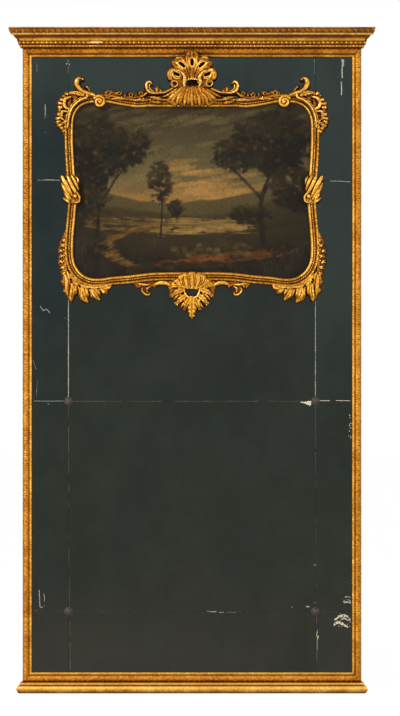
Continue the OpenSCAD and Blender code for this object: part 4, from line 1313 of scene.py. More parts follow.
class Pendant(Carving):
    """The leaf drop in the middle of the bottom rail, with its two hooked scrolls."""

    DRAWING = """
    mass 193.5,271.8 190,272 186.8,273.8 184.4,274.4 181,272.8 178.4,274.6 177.2,278.6 173.6,280.4 168.4,282 168,287.4
        169.8,291.6 169.2,296.8 172.6,297.2 174.2,300.2 173.6,303.2 177.4,304.4 180,306.6 182.8,306.4 183.6,309.2
        186.4,309.8 186.8,312.4 189.8,314 190.6,317.2 193.5,318.2 / 42 3 0 -0.5 9
    mass 169,280.6 168.8,288 166.4,286.2 162.4,285.2 158.6,286.4 156,287.8 154.4,289.8 152.6,287.2 150.6,287.6
        149.6,290 151,293 150.2,295.2 146.4,296.6 143.6,294.2 141.6,290.4 141.8,287.6 139.6,287.6 137.4,288.8 135.6,287
        133.6,284.4 134.2,282.6 137.6,283 141,281 150,280.4 / 26 6 0 0 8
    mass 193.5,272.4 190,271.8 187.4,273.6 184.6,273.6 181.6,275 178.4,275.6 177.4,278.6 174.4,280.6 176.6,284 180,287
        184.6,288.6 193.5,289 / 44 6 0 0 16
    round 192,288.4 192,281 192,274 / 2 2.6 1.6 / 45 48 45 / 4
    round 187.6,288.4 185.8,281.4 185,275.2 / 1.6 2.2 1.4 / 44 47 43 / 4
    round 184,287.4 180.8,281.6 179.6,277.4 / 1.4 2 1.3 / 43 46 42 / 4
    round 181,286.4 176.8,282.6 173.6,280 / 1.4 1.9 1.2 / 41 43 38 / 5
    groove 190.2,274 189.8,281 190.2,288 / 0.4 4
    groove 188.4,275 188,281 188.8,287.4 / 0.4 4
    groove 183.4,275.8 183.8,281.6 186,287.6 / 0.4 4
    groove 182,277.4 182.2,282.4 184.6,287 / 0.4 4
    groove 178.6,278 179.8,282 182.6,286.4 / 0.4 4
    leaf 181,286 174.4,285.8 168.8,289 / 2.5 / 40 42 30 / 3 6
    leaf 183.6,289.6 177,291.8 170.6,297.4 / 3.4 / 40 42 28 / 3 7
    leaf 185.6,295 180.4,299.4 175.2,305.4 / 3.5 / 40 42 28 / 3 7
    leaf 188.8,298.6 186,304.6 183.6,311 / 3.2 / 40 41 26 / 3 7
    leaf 192,298 192,308 192,318 / 4.6 / 42 43 34 / 4 7
    round 181,293.4 176.4,296.8 173.8,300.4 / 1 1.2 0.6 / 39 40 28 / 6
    round 187.4,299.8 183.6,304 180.6,308.4 / 1 1.2 0.6 / 39 40 28 / 6
    slot 172.2,299.4 172.8,299.2 / 0.5
    slot 179.4,307.2 179.8,306.6 / 0.5
    round 184.4,288.4 184.6,292.6 187.2,296.6 192,298 / 0.8 1 1.2 1.2 / 40 44 44 42 / 7
    round 176.4,281 172.4,284.4 169,287.6 / 1.2 1.6 1 / 40 38 32 / 7
    round 170.6,285.6 166.6,283.4 161.6,282.8 156.4,284 152.4,286.2 / 1.4 2 2.2 1.8 1 / 36 38 38 34 28 / 7
    round 154.6,289 154.8,286.4 152,285.2 / 0.7 1.1 0.9 / 26 32 30 / 6
    round 142.6,287.4 142.8,291 145.6,294.6 149.4,294.6 150,292.4 / 0.9 1.1 1.2 1.1 0.8 / 30 36 36 34 30 / 7
    round 150.6,286.4 147.4,288.2 147.2,291.4 / 1 1.3 0.8 / 30 34 30 / 7
    knob 147.4,291.6 / 1.1 32 6
    round 150,284.4 145,284.6 140,283.6 134.6,283.4 / 1 1.3 1.4 0.9 / 32 36 34 24 / 7
    round 141.6,284.8 139.4,287 137.4,288.2 / 0.9 1.1 0.6 / 32 32 22 / 6
    slot 187.4,290.8 192,290.6 / 1.5
    slot 189,292.4 192,292.6 / 1.6
    slot 191,294.4 192,295 / 1.3
    """


class TopCorner(Carving):
    """The pierced leafwork round an upper corner, with its scroll above."""

    DRAWING = """
    mass 88,97 86,93.6 80.6,94 76.4,92 70.4,90.8 66,92.8 62.4,96.4 59,100.2 56.6,104 57.4,109.4 58.8,112 56,116
        55.2,120.6 57,123.8 55.8,126.6 58.8,128.4 61.6,132 63.8,136 68,134 67.6,118 70,110 75,103.6 82,98.8 / 35 4 0.3
        0 4
    mass 80.4,76.8 76.8,77 74.2,79.8 73.8,85 75.6,90 79,93.4 84,95.8 90,96.6 96,97.8 95,93.8 90.4,91.6 86,90 82.6,88
        80.8,84.6 81,81.8 83.6,81.6 84.2,79.2 83,77.4 / 24 8 0.6 0.5 9
    """
    CUTS = """
    leaf 83,95.6 76,93.4 67.6,94 / 2.7 / 43 42 32 / 3 6
    round 71,97.6 66.8,98.6 64.6,102.4 65.2,106.8 68.6,109.4 / 0.9 1.6 1.7 1.6 1.2 / 38 41 41 41 41 / 5
    groove 69.8,100 67.2,102.6 67.6,106 / 0.5 5
    leaf 64,99.4 61.6,100.4 59.6,103.4 / 1.9 / 36 33 24 / 2 6
    leaf 64.4,105.4 61.4,106.6 59.6,110 / 1.9 / 37 34 24 / 2 6
    round 67.2,111.6 63.4,111.8 61.2,115 61.6,118.6 64.4,120.6 / 0.9 1.4 1.5 1.4 1 / 40 39 38 38 40 / 5
    leaf 60.4,116.6 58.4,118.2 57.4,121.4 / 1.7 / 34 31 22 / 2 6
    leaf 67,122 62.8,123.6 59.2,127.4 / 2.1 / 42 38 24 / 3 6
    leaf 67,126.6 64.4,129 62.4,133 / 1.7 / 42 38 26 / 2 6
    knob 62.8,116 / 0.9 40 5
    knob 65.6,125 / 0.9 42 5
    knob 61.4,124 / 0.8 36 6
    knob 64.6,131 / 0.9 38 5
    groove 64.6,121.6 61.4,122.2 58.4,124 / 0.45 8
    groove 66.6,110.4 63,110 59.6,112.4 / 0.45 7
    groove 66.4,97.4 62.6,97.8 60.6,99.6 / 0.4 6
    round 87.2,95.2 86.6,98.6 82,100 76,104.4 71.6,110 69,118 68.2,128 / 1.3 1.6 1.5 1.4 1.3 1.2 1 / 42 45 45 45 44 43
        / 9
    round 83.4,80.2 80.6,78.6 77.8,80 77,84 79,88.4 83,91.6 88.4,93.6 94,95.4 / 0.8 1.5 2.3 2.8 2.5 2 1.4 1.1 / 26 34
        38 40 42 44 / 9
    groove 80.6,80.4 79.6,84 81.6,88 86,90.8 / 0.45 5
    leaf 84.8,86.4 87.6,88.2 90.2,91.6 / 1.6 / 26 36 40 38 / 2 8
    knob 83,79.8 / 1.3 30 8
    knob 89,96.4 / 1.3 42 5
    slot 72.6,99.4 72.2,103 71.4,105.8 / 1.25
    slot 78.2,98 80.2,97.4 / 0.75
    slot 65,113.6 65.8,114.6 / 1.0
    slot 62.4,120.8 63,121 / 0.6
    slot 63.6,127.4 63.9,127.8 / 0.55
    """
    FRILL = (
        "66,92.8 62.8,95.8 60.2,99.2 58,103.2 57.8,107.6 "
        "58.8,111.4 56.8,115 56,119.2 56.2,123 57.8,126.4 60.4,129.4 62.6,132.6"
    )

    def shapes(self) -> list[Shape]:
        """Returns the cuts of the ornament, its slots last.

        Returns:
            The cuts.
        """
        tips = []
        for n, (x, y) in enumerate(read_points(self.FRILL)):
            path = f"{0.72 * x + 20.2},{0.9 * y + 11.4} {0.9 * x + 7.2},{0.96 * y + 4.6} {x - 0.2},{y}"
            tips.append(Stroke(path, "1.2 1.9 0.9", f"40 {39 - n % 2 * 3} 30", 7))
        return [*super().shapes(), *tips, *read_drawing(self.CUTS)]


class Garland(Carving):
    """The C-scroll, bud and trail of blossoms along the top rail."""

    DRAWING = """
    mass 152.8,85 153,82.6 150.8,80.8 147.4,80.8 145,83.2 144.2,87 145.2,91.4 148,94.6 153,96 159,95.4 165,94.4
        171,91.8 174.6,88.4 171.4,88.4 167,90.6 162.6,91.2 161.6,89 159.6,88 158.6,85 157.2,86.4 155.6,88.8 156,91
        153.4,91.2 150.8,89.2 150.2,86.4 151.2,84.8 / 26 6 0.3 0.2 9
    round 152.2,84.4 150.2,82.4 147.4,83 146.2,86.8 147.8,91 152,93.6 158,93.6 165,92.4 172.4,89.2 / 1 1.3 1.5 1.7 1.6
        1.4 1.1 1.2 1.2 / 34 40 42 42 40 38 36 36 36 / 9
    round 149.8,85 149.6,88 151.6,91 154.6,92 / 0.5 0.7 0.8 0.6 / 40 42 42 38 / 4
    leaf 157.8,93.6 156.8,89.8 158.2,85.4 / 1.8 / 32 38 36 26 / 3 8
    round 158.8,93 161,91.4 161.6,89.2 / 0.9 1.2 0.7 / 34 36 28 / 7
    round 163,97.4 168.4,95.2 173.2,91 / 0.9 1.4 1.1 / 30 36 34 / 7
    round 104.6,98.6 109.4,97 114.8,96.8 120,98 125.4,97.6 131.4,98.6 137,98 142,97 146.6,93.4 / 1.3 1.3 1.2 1.2 1.1
        1.2 1.1 1.1 1.3 / 36 34 32 32 30 32 32 34 36 / 6
    leaf 124.4,99.6 118.4,98.8 111.6,100 / 1.7 / 40 42 42 38 / 3 5
    leaf 146.8,101 140.4,100 133.6,101.2 / 1.7 / 40 42 42 38 / 3 5
    leaf 161.4,100.6 155.4,98.6 149,97.6 / 1.9 / 40 44 42 36 / 3 6
    leaf 160.6,103.4 155,102.8 149.6,101.4 / 1.7 / 40 44 44 38 / 3 6
    knob 150.4,100.4 / 1.3 42 6
    """
    BLOSSOMS = """
    blossom 108.8,93.2 / 2.7 0.9
    blossom 113.6,94.2 / 1.9 0.6
    blossom 119.2,94.2 / 2.1 0.7
    blossom 131.2,95.4 / 2.5 1.0
    blossom 140.8,94 / 2.3 0.9
    """
    LEAVES = """
    leaf 110.4,95.4 111.8,92 112.4,89
    leaf 106,96 105.2,93 104.4,90.4
    leaf 120.4,96.4 121.2,93 120.8,90
    leaf 116,97 116.4,93.6 115.6,91
    leaf 124.4,98 125.6,95 127.4,93.2
    leaf 135.8,98 136.2,94.6 137.4,92
    leaf 144,97 145,94.6 144,92.4
    """

    def shapes(self) -> list[Shape]:
        """Returns the cuts of the ornament, its slots last.

        Returns:
            The cuts.
        """
        petals: list[Shape] = []
        for _, at, (measures,) in read_rows(self.BLOSSOMS):
            x, y = read_points(at)[0]
            radius, eye = numbers(measures)
            petals.append(Knob(at, radius, 30, 7, eye))
            for n in range(5):
                turn = math.radians(20 + 72 * n)
                tip = f"{x + radius * 0.95 * math.cos(turn)},{y - radius * 0.95 * math.sin(turn)}"
                petals.append(Knob(tip, radius * 0.36, 30, 6))
        for _, path, _ in read_rows(self.LEAVES):
            petals += acanthus(path, 1.0, "30 34 32 24", 2, 5)
        return [*super().shapes(), *petals]


class Clasp(Carving):
    """The leaf that is wrapped round the middle of a side rail."""

    DRAWING = """
    mass 63.4,175.4 61,177.6 60.8,182.4 61.8,187.6 63.2,192.4 64,196 62.8,198.4 64,201.2 67.6,203.6 73,204.6 77.8,203.8
        79.8,200 79.2,195.6 78.4,190 78.6,183.6 77,178.6 73.4,175.6 69,175.6 66.4,177.4 / 30 8 0.45 0 10
    round 62.8,177.6 66.6,185.4 73,196.8 / 1.7 2.2 2 1.2 / 40 47 49 44 / 5
    round 67.8,176.8 71.6,184.8 77,194.4 / 1.3 1.9 1.9 1.1 / 40 47 49 44 / 5
    round 72.2,176.2 75.8,183 78.2,189.8 / 1.2 1.6 1.4 0.8 / 40 47 49 44 / 5
    round 62.6,184 66.2,191.4 71.2,199.6 / 1.4 2 1.8 1 / 40 47 49 44 / 5
    round 64.4,191.4 67,196.4 69.8,201.4 / 1.3 1.6 1.5 0.8 / 40 47 49 44 / 5
    round 64.4,199 67.4,201.4 70.2,203.2 / 1.3 1.4 0.8 / 40 47 49 44 / 5
    round 76,176.8 78,180 78.6,184.4 / 0.8 1.1 0.7 / 40 47 49 44 / 5
    round 77.2,193.4 79.6,197.6 78.8,202 75.4,203 / 1 1.2 1.1 0.8 / 46 48 46 42 / 6
    knob 75.4,196.6 / 2.1 48 6
    slot 75,200 75.4,200.6 / 0.85 24
    slot 66.2,179 66.8,180.2 / 0.8 20
    """


class Trail(Carving):
    """The small leaves that climb the lower part of a side rail."""

    DRAWING = """
    mass 66.6,228.8 64,233.6 61.8,238 59.6,241.6 59.2,246 57.4,249.8 58.8,253.6 58.2,258 57.4,262.6 59.4,266.6
        61.4,269.4 60.4,272.4 62,275.2 64,277 67,277 66.8,262 66,248 66.8,238 / 36 3 1.3 0 6
    """
    FOOT = """
    leaf 65,274.6 63.8,280.6 64.8,287 / 1.8 / 36 40 36 26 / 3 8
    slot 62.8,242 62.8,242.5 / 0.5
    slot 62.4,252.6 62.4,253.1 / 0.5
    slot 62.6,257.4 62.6,257.9 / 0.5
    slot 63.6,264 63.6,264.5 / 0.5
    """
    BUDS = "60.8,238.8 59.8,243.8 57.8,249.2 58.8,254.4 57.8,260 59.4,265.8 60.6,271.8"

    def shapes(self) -> list[Shape]:
        """Returns the cuts of the ornament, its slots last.

        Returns:
            The cuts.
        """
        buds: list[Shape] = []
        for x, y in read_points(self.BUDS):
            buds += acanthus(f"{x + 4.8},{y + 3} {x + 2.2},{y + 0.9} {x},{y - 0.2}", 1.5, "38 38 32 22", 2, 7)
            buds += [Knob(f"{x + 1.6},{y + 2.8}", 1.1, 30, 7), Knob(f"{x * 0.2 + 52.6},{y + 1}", 1.2, 38, 6)]
        return [*super().shapes(), *buds, *read_drawing(self.FOOT)]


class Spray(Carving):
    """The spray of acanthus leaves under a lower corner."""

    DRAWING = """
    mass 63.6,275.4 62.4,279 60.4,281.6 62.2,285 63.8,288 62.6,291.6 65.4,294 67.4,297.6 69.6,301 71.6,302.2 73.6,300
        75,296.2 77.4,294.8 79.2,298.4 81.8,301.2 88,303.6 89.2,301 88,296.8 91,296.8 94.6,299.4 100.2,301 100.6,298
        99.6,295 103.4,294.4 107.4,294.6 108.2,291.8 110.2,289.2 112.2,286.2 111.6,282.4 104,282.6 96,283.4 88,283
        81,280.4 75.4,276 72,271.6 / 30 13 0 0 17
    round 67.6,272.6 70.4,278.8 76.4,284 84.8,286.8 94,288 104,286.8 111,284.4 / 1.2 1.5 1.7 1.7 1.6 1.4 1 / 38 41 41
        41 38 / 6
    round 66,276 66.8,282 67,289 / 1.4 2 1.5 / 40 44 40 / 6
    round 66.4,280 63,281 60.6,282 / 1.6 1.4 0.8 / 40 36 26 / 6
    round 66.6,287.4 64,289.6 62.8,291.6 / 1.5 1.3 0.8 / 38 34 26 / 6
    round 72.4,285 72.4,292 71.4,301 / 2.2 2.8 1.2 / 40 42 28 / 6
    round 75.6,285.6 76.2,290 76,294.4 / 1.4 1.6 0.9 / 40 42 30 / 6
    round 69.4,287 68.6,292 67.8,296.4 / 1.3 1.5 0.8 / 38 38 26 / 6
    round 82.4,289 83.4,295.6 87.4,302.6 / 2.2 2.8 1 / 40 42 28 / 6
    round 80.2,290 80.4,294.6 80.2,298.6 / 1.3 1.6 0.9 / 38 38 26 / 6
    round 86.4,289.4 87.4,293.4 87.8,298 / 1.4 1.5 0.8 / 40 40 28 / 6
    round 92.6,291 95.4,295.4 99.8,300.4 / 2 2.5 1 / 40 42 28 / 6
    round 91,291.6 91.8,295.8 93.8,298.6 / 1.2 1.4 0.8 / 38 36 26 / 6
    round 97.6,290.6 99.4,293.4 100.2,296.4 / 1.3 1.4 0.8 / 40 38 28 / 6
    round 101.6,290 104.2,292 107,293.8 / 1.7 2 1 / 40 40 28 / 6
    round 105.6,288.8 109.4,287.8 111.6,285 / 1.3 1.6 1 / 40 41 36 / 6
    groove 70.4,284.6 69.8,290 68.8,297 / 0.5 8
    groove 77.8,287.4 78.2,292 77.2,296 / 0.6 12
    groove 88.6,290.6 90,295 89.6,298.4 / 0.6 12
    groove 99.8,290.4 101.4,293 101,296 / 0.5 10
    groove 72.6,287 72.6,293 71.6,299 / 0.4 4
    groove 82.6,291 83.8,296 87,301 / 0.4 4
    groove 93.2,292 95.8,295.6 99,299.4 / 0.4 4
    slot 71.2,279.6 72,282.4 / 1.15
    slot 79.4,285.6 80.2,287 / 1.0
    slot 88.4,289 90.4,289 / 0.75
    slot 97.8,288.8 99.4,288.8 / 0.6
    """


# Runs of moulding


class Repeats:
    """A Geometry Nodes group that sets a template out along a line at a fixed pitch."""

    SOCKETS = {
        "Line": "NodeSocketGeometry",
        "Template": "NodeSocketObject",
        "Pitch": "NodeSocketFloat",
        "Size Play": "NodeSocketFloat",
        "Turn Play": "NodeSocketFloat",
        "Seed": "NodeSocketInt",
        "Finish": "NodeSocketMaterial",
    }

    def __init__(self) -> None:
        """Builds the group: a template on every point, turned along the line with a little play."""
        self.tree = bpy.data.node_groups.new("set out along a line", "GeometryNodeTree")
        for label, kind in self.SOCKETS.items():
            self.tree.interface.new_socket(label, in_out="INPUT", socket_type=kind)
        self.tree.interface.new_socket("Geometry", in_out="OUTPUT", socket_type="NodeSocketGeometry")
        g = Graph(self.tree)
        given = g.add("NodeGroupInput").outputs
        curve = g.add("GeometryNodeMeshToCurve", [given["Line"]])
        points = g.add("GeometryNodeResampleCurve", {"Curve": curve, "Length": given["Pitch"]}, mode="LENGTH")
        shape = g.add("GeometryNodeObjectInfo", {"Object": given["Template"], "As Instance": True})
        tangent = {"Vector": g.add("GeometryNodeInputTangent")}
        along = g.add("FunctionNodeAlignRotationToVector", tangent, axis="X", pivot_axis="Y")
        small, large = (g.add(MATH, [1.0, given["Size Play"]], operation=kind) for kind in ("SUBTRACT", "ADD"))
        size = g.add("FunctionNodeRandomValue", {2: small, 3: large, "Seed": given["Seed"]}, data_type="FLOAT")
        back = g.add(MATH, [given["Turn Play"], -1.0], operation="MULTIPLY")
        play = {2: back, 3: given["Turn Play"], "Seed": given["Seed"]}
        turn = g.add("FunctionNodeRandomValue", play, data_type="FLOAT")
        spin = g.add("FunctionNodeEulerToRotation", [g.add("ShaderNodeCombineXYZ", {1: turn})])
        both = {"Rotation": along, "Rotate By": spin}
        facing = g.add("FunctionNodeRotateRotation", both, rotation_space="LOCAL")
        copies = {"Points": points, "Instance": shape.outputs["Geometry"], "Rotation": facing, "Scale": size}
        real = g.add("GeometryNodeRealizeInstances", [g.add("GeometryNodeInstanceOnPoints", copies)])
        dressed = g.add("GeometryNodeSetMaterial", {"Geometry": real, "Material": given["Finish"]})
        g.add("NodeGroupOutput", [dressed])

    def along(
        self,
        line: np.ndarray,
        template: Solid,
        pitch: float,
        finish: Finish,
        seed: int,
        size_play: float = 0.08,
        turn_play: float = 0.08,
    ) -> Solid:
        """Sets a template out along a line.

        Args:
            line: Points of the line in millimetres.
            template: What is repeated, drawn at the origin with its length along x.
            pitch: Spacing in millimetres.
            finish: Its finish.
            seed: Seed of its play.
            size_play: How much each size strays, as a share.
            turn_play: How much each one turns, in radians.

        Returns:
            All the copies as one shape.
        """
        shape = placed("template", template.mesh("template"))
        path = bpy.data.meshes.new("line")
        path.from_pydata((line * METRE).tolist(), [(i, i + 1) for i in range(len(line) - 1)], [])
        carrier = placed("line", path)
        repeat = carrier.modifiers.new("repeats", "NODES")
        repeat.node_group = self.tree
        values = (None, shape, pitch * METRE, size_play, turn_play, seed, finish.material())
        given = dict(zip(self.SOCKETS, values))
        for item in self.tree.interface.items_tree:
            if item.in_out == "INPUT" and given[item.name] is not None:
                repeat[item.identifier] = given[item.name]
        graph = bpy.context.evaluated_depsgraph_get()
        made = bpy.data.meshes.new_from_object(carrier.evaluated_get(graph), depsgraph=graph)
        copies = Solid.of_mesh(made)
        for thing in (carrier, shape):
            bpy.data.objects.remove(thing)
        bpy.data.meshes.remove(made)
        return copies


def tube(rings: int, corners: int) -> tuple[np.ndarray, np.ndarray, np.ndarray]:
    """Numbers the points of a tube ring by ring, and the faces between them.

    Args:
        rings: Number of rings.
        corners: Points in a ring.

    Returns:
        Each point's number, the number of the next one in its ring, and the faces.
    """
    number = np.arange(rings * corners).reshape(rings, corners)
    ahead = np.roll(number, -1, 1)
    return number, ahead, np.stack([number[:-1], ahead[:-1], ahead[1:], number[1:]], -1).reshape(-1, 4)


def sweep(stations: np.ndarray, hollow: np.ndarray) -> Solid:
    """Skins a closed section along stations, with closed ends.

    Args:
        stations: Points as (station, corner of the section, xyz).
        hollow: How sunk each corner of the section is, which sets how dark the finish paints it, partly as painted
            shade.

    Returns:
        The swept shape.
    """
    count, corners = stations.shape[:2]
    number, ahead, quads = tube(count, corners)
    points = stations.reshape(-1, 3)
    shade = np.tile(hollow, count)
    middles = np.stack([stations[0].mean(0), stations[-1].mean(0)])
    tris = []
    for end, middle, flip in ((0, len(points), True), (count - 1, len(points) + 1, False)):
        ring, after = number[end], ahead[end]
        fan = np.stack([np.full(corners, middle), ring, after], 1)
        tris.append(fan[:, ::-1] if flip else fan)
    made = Solid(
        np.concatenate([points, middles]), quads, np.concatenate(tris), np.concatenate([shade, [0.2, 0.2]])
    )
    return made.outward()


def arc(centre: tuple[float, float], radius: float, start: float, end: float, steps: int) -> list[tuple[float, float]]:
    """Points of an arc, angles in degrees from the first axis."""
    turns = np.radians(np.linspace(start, end, steps))
    return [(centre[0] + radius * math.cos(a), centre[1] + radius * math.sin(a)) for a in turns]


@dataclass(frozen=True)
class Section:
    """A moulding's closed section.

    Args:
        rows: Corners as (out, up, hollow): the two directions of the section, and how sunk the corner is, which sets
            how dark the finish paints it, partly as painted shade.
    """

    rows: tuple[tuple[float, float, float], ...]

    def corners(self) -> np.ndarray:
        """The corners' two coordinates."""
        return np.array([row[:2] for row in self.rows], float)

    def hollow(self) -> np.ndarray:
        """How sunk each corner is, which sets how dark the finish paints it, partly as painted shade."""
        return np.array([row[2] for row in self.rows], float)


def shaded(points: list[tuple[float, float]], hollow: float) -> list[tuple[float, float, float]]:
    """Gives every point of a list the same hollow."""
    return [(a, b, hollow) for a, b in points]


def bead(length: float, width: float, height: float, lean: float = 0.0) -> Solid:
    """A carved bead: an oval dome on a sunk edge, with its long side along x and its crest towards -y.

    Args:
        length: Its length.
        width: Its width.
        height: Height of its crest.
        lean: How far it leans along x, as a share of its width.

    Returns:
        The bead.
    """
    around, rings = 10, (0.4, 0.7, 0.88, 1.0)
    points, hollow = [], []
    for u in rings:
        for turn in np.linspace(0, 2 * math.pi, around, endpoint=False):
            x, z = u * length / 2 * math.cos(turn), u * width / 2 * math.sin(turn)
            points.append((x + lean * z, 0.4 * u - height * math.sqrt(1 - u**2.4), z))
            hollow.append(1.1 * u**3 - 0.4)
    number, ahead, quads = tube(len(rings), around)
    crest, foot = np.full(around, len(points)), np.full(around, len(points) + 1)
    tris = np.concatenate([np.stack([crest, ahead[0], number[0]], 1), np.stack([foot, number[-1], ahead[-1]], 1)])
    points += [(0.0, -height, 0.0), (0.0, 0.4, 0.0)]
    return Solid(np.array(points), quads, tris, np.array(hollow + [-0.4, 0.9])).outward()


def ridge(points: np.ndarray, half: float, height: float) -> Solid:
    """A carved ridge of three-cornered section, tapered to both ends.

    Args:
        points: Points along its crest (x, z), in millimetres.
        half: Half its width at its foot.
        height: Height of its crest.

    Returns:
        The ridge, with its crest towards -y.
    """
    sink = 1.6  # How far its foot lies under the ground.
    out = across(np.gradient(points, axis=0))
    taper = np.sin(np.linspace(0.5, math.pi - 0.5, len(points)))[:, None]
    rows = [
        np.insert(points + out * half * taper * side, 1, -height * taper[:, 0] if side == 0 else sink, axis=1)
        for side in (-1, 0, 1)
    ]
    return sweep(np.stack(rows, 1), np.array([0.5, -0.9, 0.5]))


def husk(length: float, width: float, height: float, slant: float) -> Solid:
    """One repeat of a carved leaf pattern: an arched leaf edge round a dart, with a vein on each side.

    Args:
        length: Its length along x.
        width: Its width along z.
        height: Height of its crest.
        slant: How far it leans along x, as a share of its width.

    Returns:
        The repeat, with its crest towards -y.
    """
    parts = []
    for path, half, share in (
        ("-0.86,-0.9 -0.8,0 -0.4,0.72 0,0.94 0.4,0.72 0.8,0 0.86,-0.9", 0.13, 1.0),
        ("0,-0.92 0,-0.1 0,0.6", 0.2, 1.1),
        ("-0.46,-0.8 -0.42,0.2", 0.1, 0.85),
        ("0.46,-0.8 0.42,0.2", 0.1, 0.85),
        ("0.98,0.2 0.99,0.9", 0.12, 0.9),
    ):
        points = read_points(path) * [length / 2, width / 2]
        points[:, 0] += points[:, 1] * slant
        parts.append(ridge(points, half * length, share * height))
    return Solid.joined(parts)


@dataclass(frozen=True)
class Border:
    """The carved border between the glass and the edge of the frame.

    Args:
        step: Spacing of the leaves.
        leaf: Width, height and slant of a leaf.
        leaf_at: Where the leaves lie: out from the wall, and outwards from the sight edge.
        crest: Middle of the band that they are bent over, outwards from the sight edge.
        reach: How far the leaves stand out from the wall at most.
        play: How much the leaves stray in size and turn.
    """

    step: float = 17.5
    leaf: tuple[float, float, float] = (20.5, 4.1, 0.12)
    leaf_at: tuple[float, float] = (57.0, 21.6)
    crest: float = 21.2
    reach: float = 61.9
    play: float = 0.04

    def section(self) -> Section:
        """The section: out is the distance from the wall, up the distance outwards from the sight edge.

        Returns:
            The section.
        """
        rows = [(T_FACE + 0.05, 0.05, 0.5), (44.0, 0.05, 0.1)]
        rows += [(47 + 5 * math.sin(a), 5.2 - 5.1 * math.cos(a), 0.0) for a in np.linspace(0.15, 2.6, 11)]
        rows += [(49.4, 10.4, 0.75), (50.2, 11.6, 0.6)]
        rows += [(49.6 + 8.2 * math.sin(a), self.crest - 10 * math.cos(a), 0.08) for a in np.linspace(0.2, 2.6, 12)]
        rows += [(52.4, 31.2, 0.6), (50.0, 32.4, 0.45), (46.0, 32.9, 0.3), (T_BOARD + 0.2, 32.9, 0.5)]
        rows += [(T_BOARD + 0.2, 10.2, 0.8), (T_FACE + 0.05, 10.2, 0.8)]
        return Section(tuple(rows))

    def run(self, half: float, repeats: Repeats, seed: int, shade: float) -> Solid:
        """One length of the border, lying along x with its outer edge up.

        Args:
            half: Half its length at the sight edge.
            repeats: The Geometry Nodes group for its leaves.
            seed: Seed of its irregularities.
            shade: How much darker it is painted than the others, as painted shade, most on the top length under the
                cornice.

        Returns:
            The moulding with mitred ends.
        """
        rng = np.random.default_rng(seed)
        section = self.section()
        corners = section.corners()
        steps = int(half / 9)
        share = np.linspace(-1, 1, steps)
        wave = np.interp(share, np.linspace(-1, 1, 40), rng.normal(0, 0.22, 40))
        out = corners[None, :, 0] - np.abs(wave[:, None]) * (corners[None, :, 0] > 45)
        rise = np.repeat(corners[None, :, 1], steps, 0)
        x = share[:, None] * (half + rise)
        bar = sweep(np.stack([x, -out, rise], -1), section.hollow())
        # The leaves follow the hollow of the band and are cut at the mitres.
        front, middle = self.leaf_at
        line = np.linspace([-half - 16, -front, middle], [half + 16, -front, middle], 60)
        husks = husk(self.step, *self.leaf)
        leaves = repeats.along(line, husks, self.step, BORDER_GOLD, seed, self.play, self.play)
        x, y, up = leaves.points.T
        y = np.minimum(y + 0.03 * (up - self.crest) ** 2, -44.0)
        mitred = np.where(np.abs(x) <= half + up + 0.5, x, np.sign(x) * (half + up))
        leaves.points = np.stack([mitred, np.maximum(y, -self.reach), up], 1)
        made = Solid.joined([bar, leaves])
        made.hollow = made.hollow + shade
        return made

    def build(self, repeats: Repeats) -> None:
        """Makes the four lengths.

        Args:
            repeats: The Geometry Nodes group for its leaves.
        """
        middle = (Z_SIGHT_LOW + Z_SIGHT_TOP) / 2
        tall = Z_SIGHT_TOP - middle
        # The top length is painted darkest, as the shade under the cornice's overhang.
        for name, half, shade, turn, offset in (
            ("border_top", X_SIGHT, 0.02, [[1, 0, 0], [0, 1, 0], [0, 0, 1]], (0, 0, Z_SIGHT_TOP)),
            ("border_bottom", X_SIGHT, -0.22, [[-1, 0, 0], [0, 1, 0], [0, 0, -1]], (0, 0, Z_SIGHT_LOW)),
            ("border_left", tall, -0.16, [[0, 0, -1], [0, 1, 0], [1, 0, 0]], (-X_SIGHT, 0, middle)),
            ("border_right", tall, -0.18, [[0, 0, 1], [0, 1, 0], [-1, 0, 0]], (X_SIGHT, 0, middle)),
        ):
            run = self.run(half, repeats, 11 + len(name), shade).turned(turn, offset)
            run.piece("carved_" + name, BORDER_GOLD, "gilding", (name,))


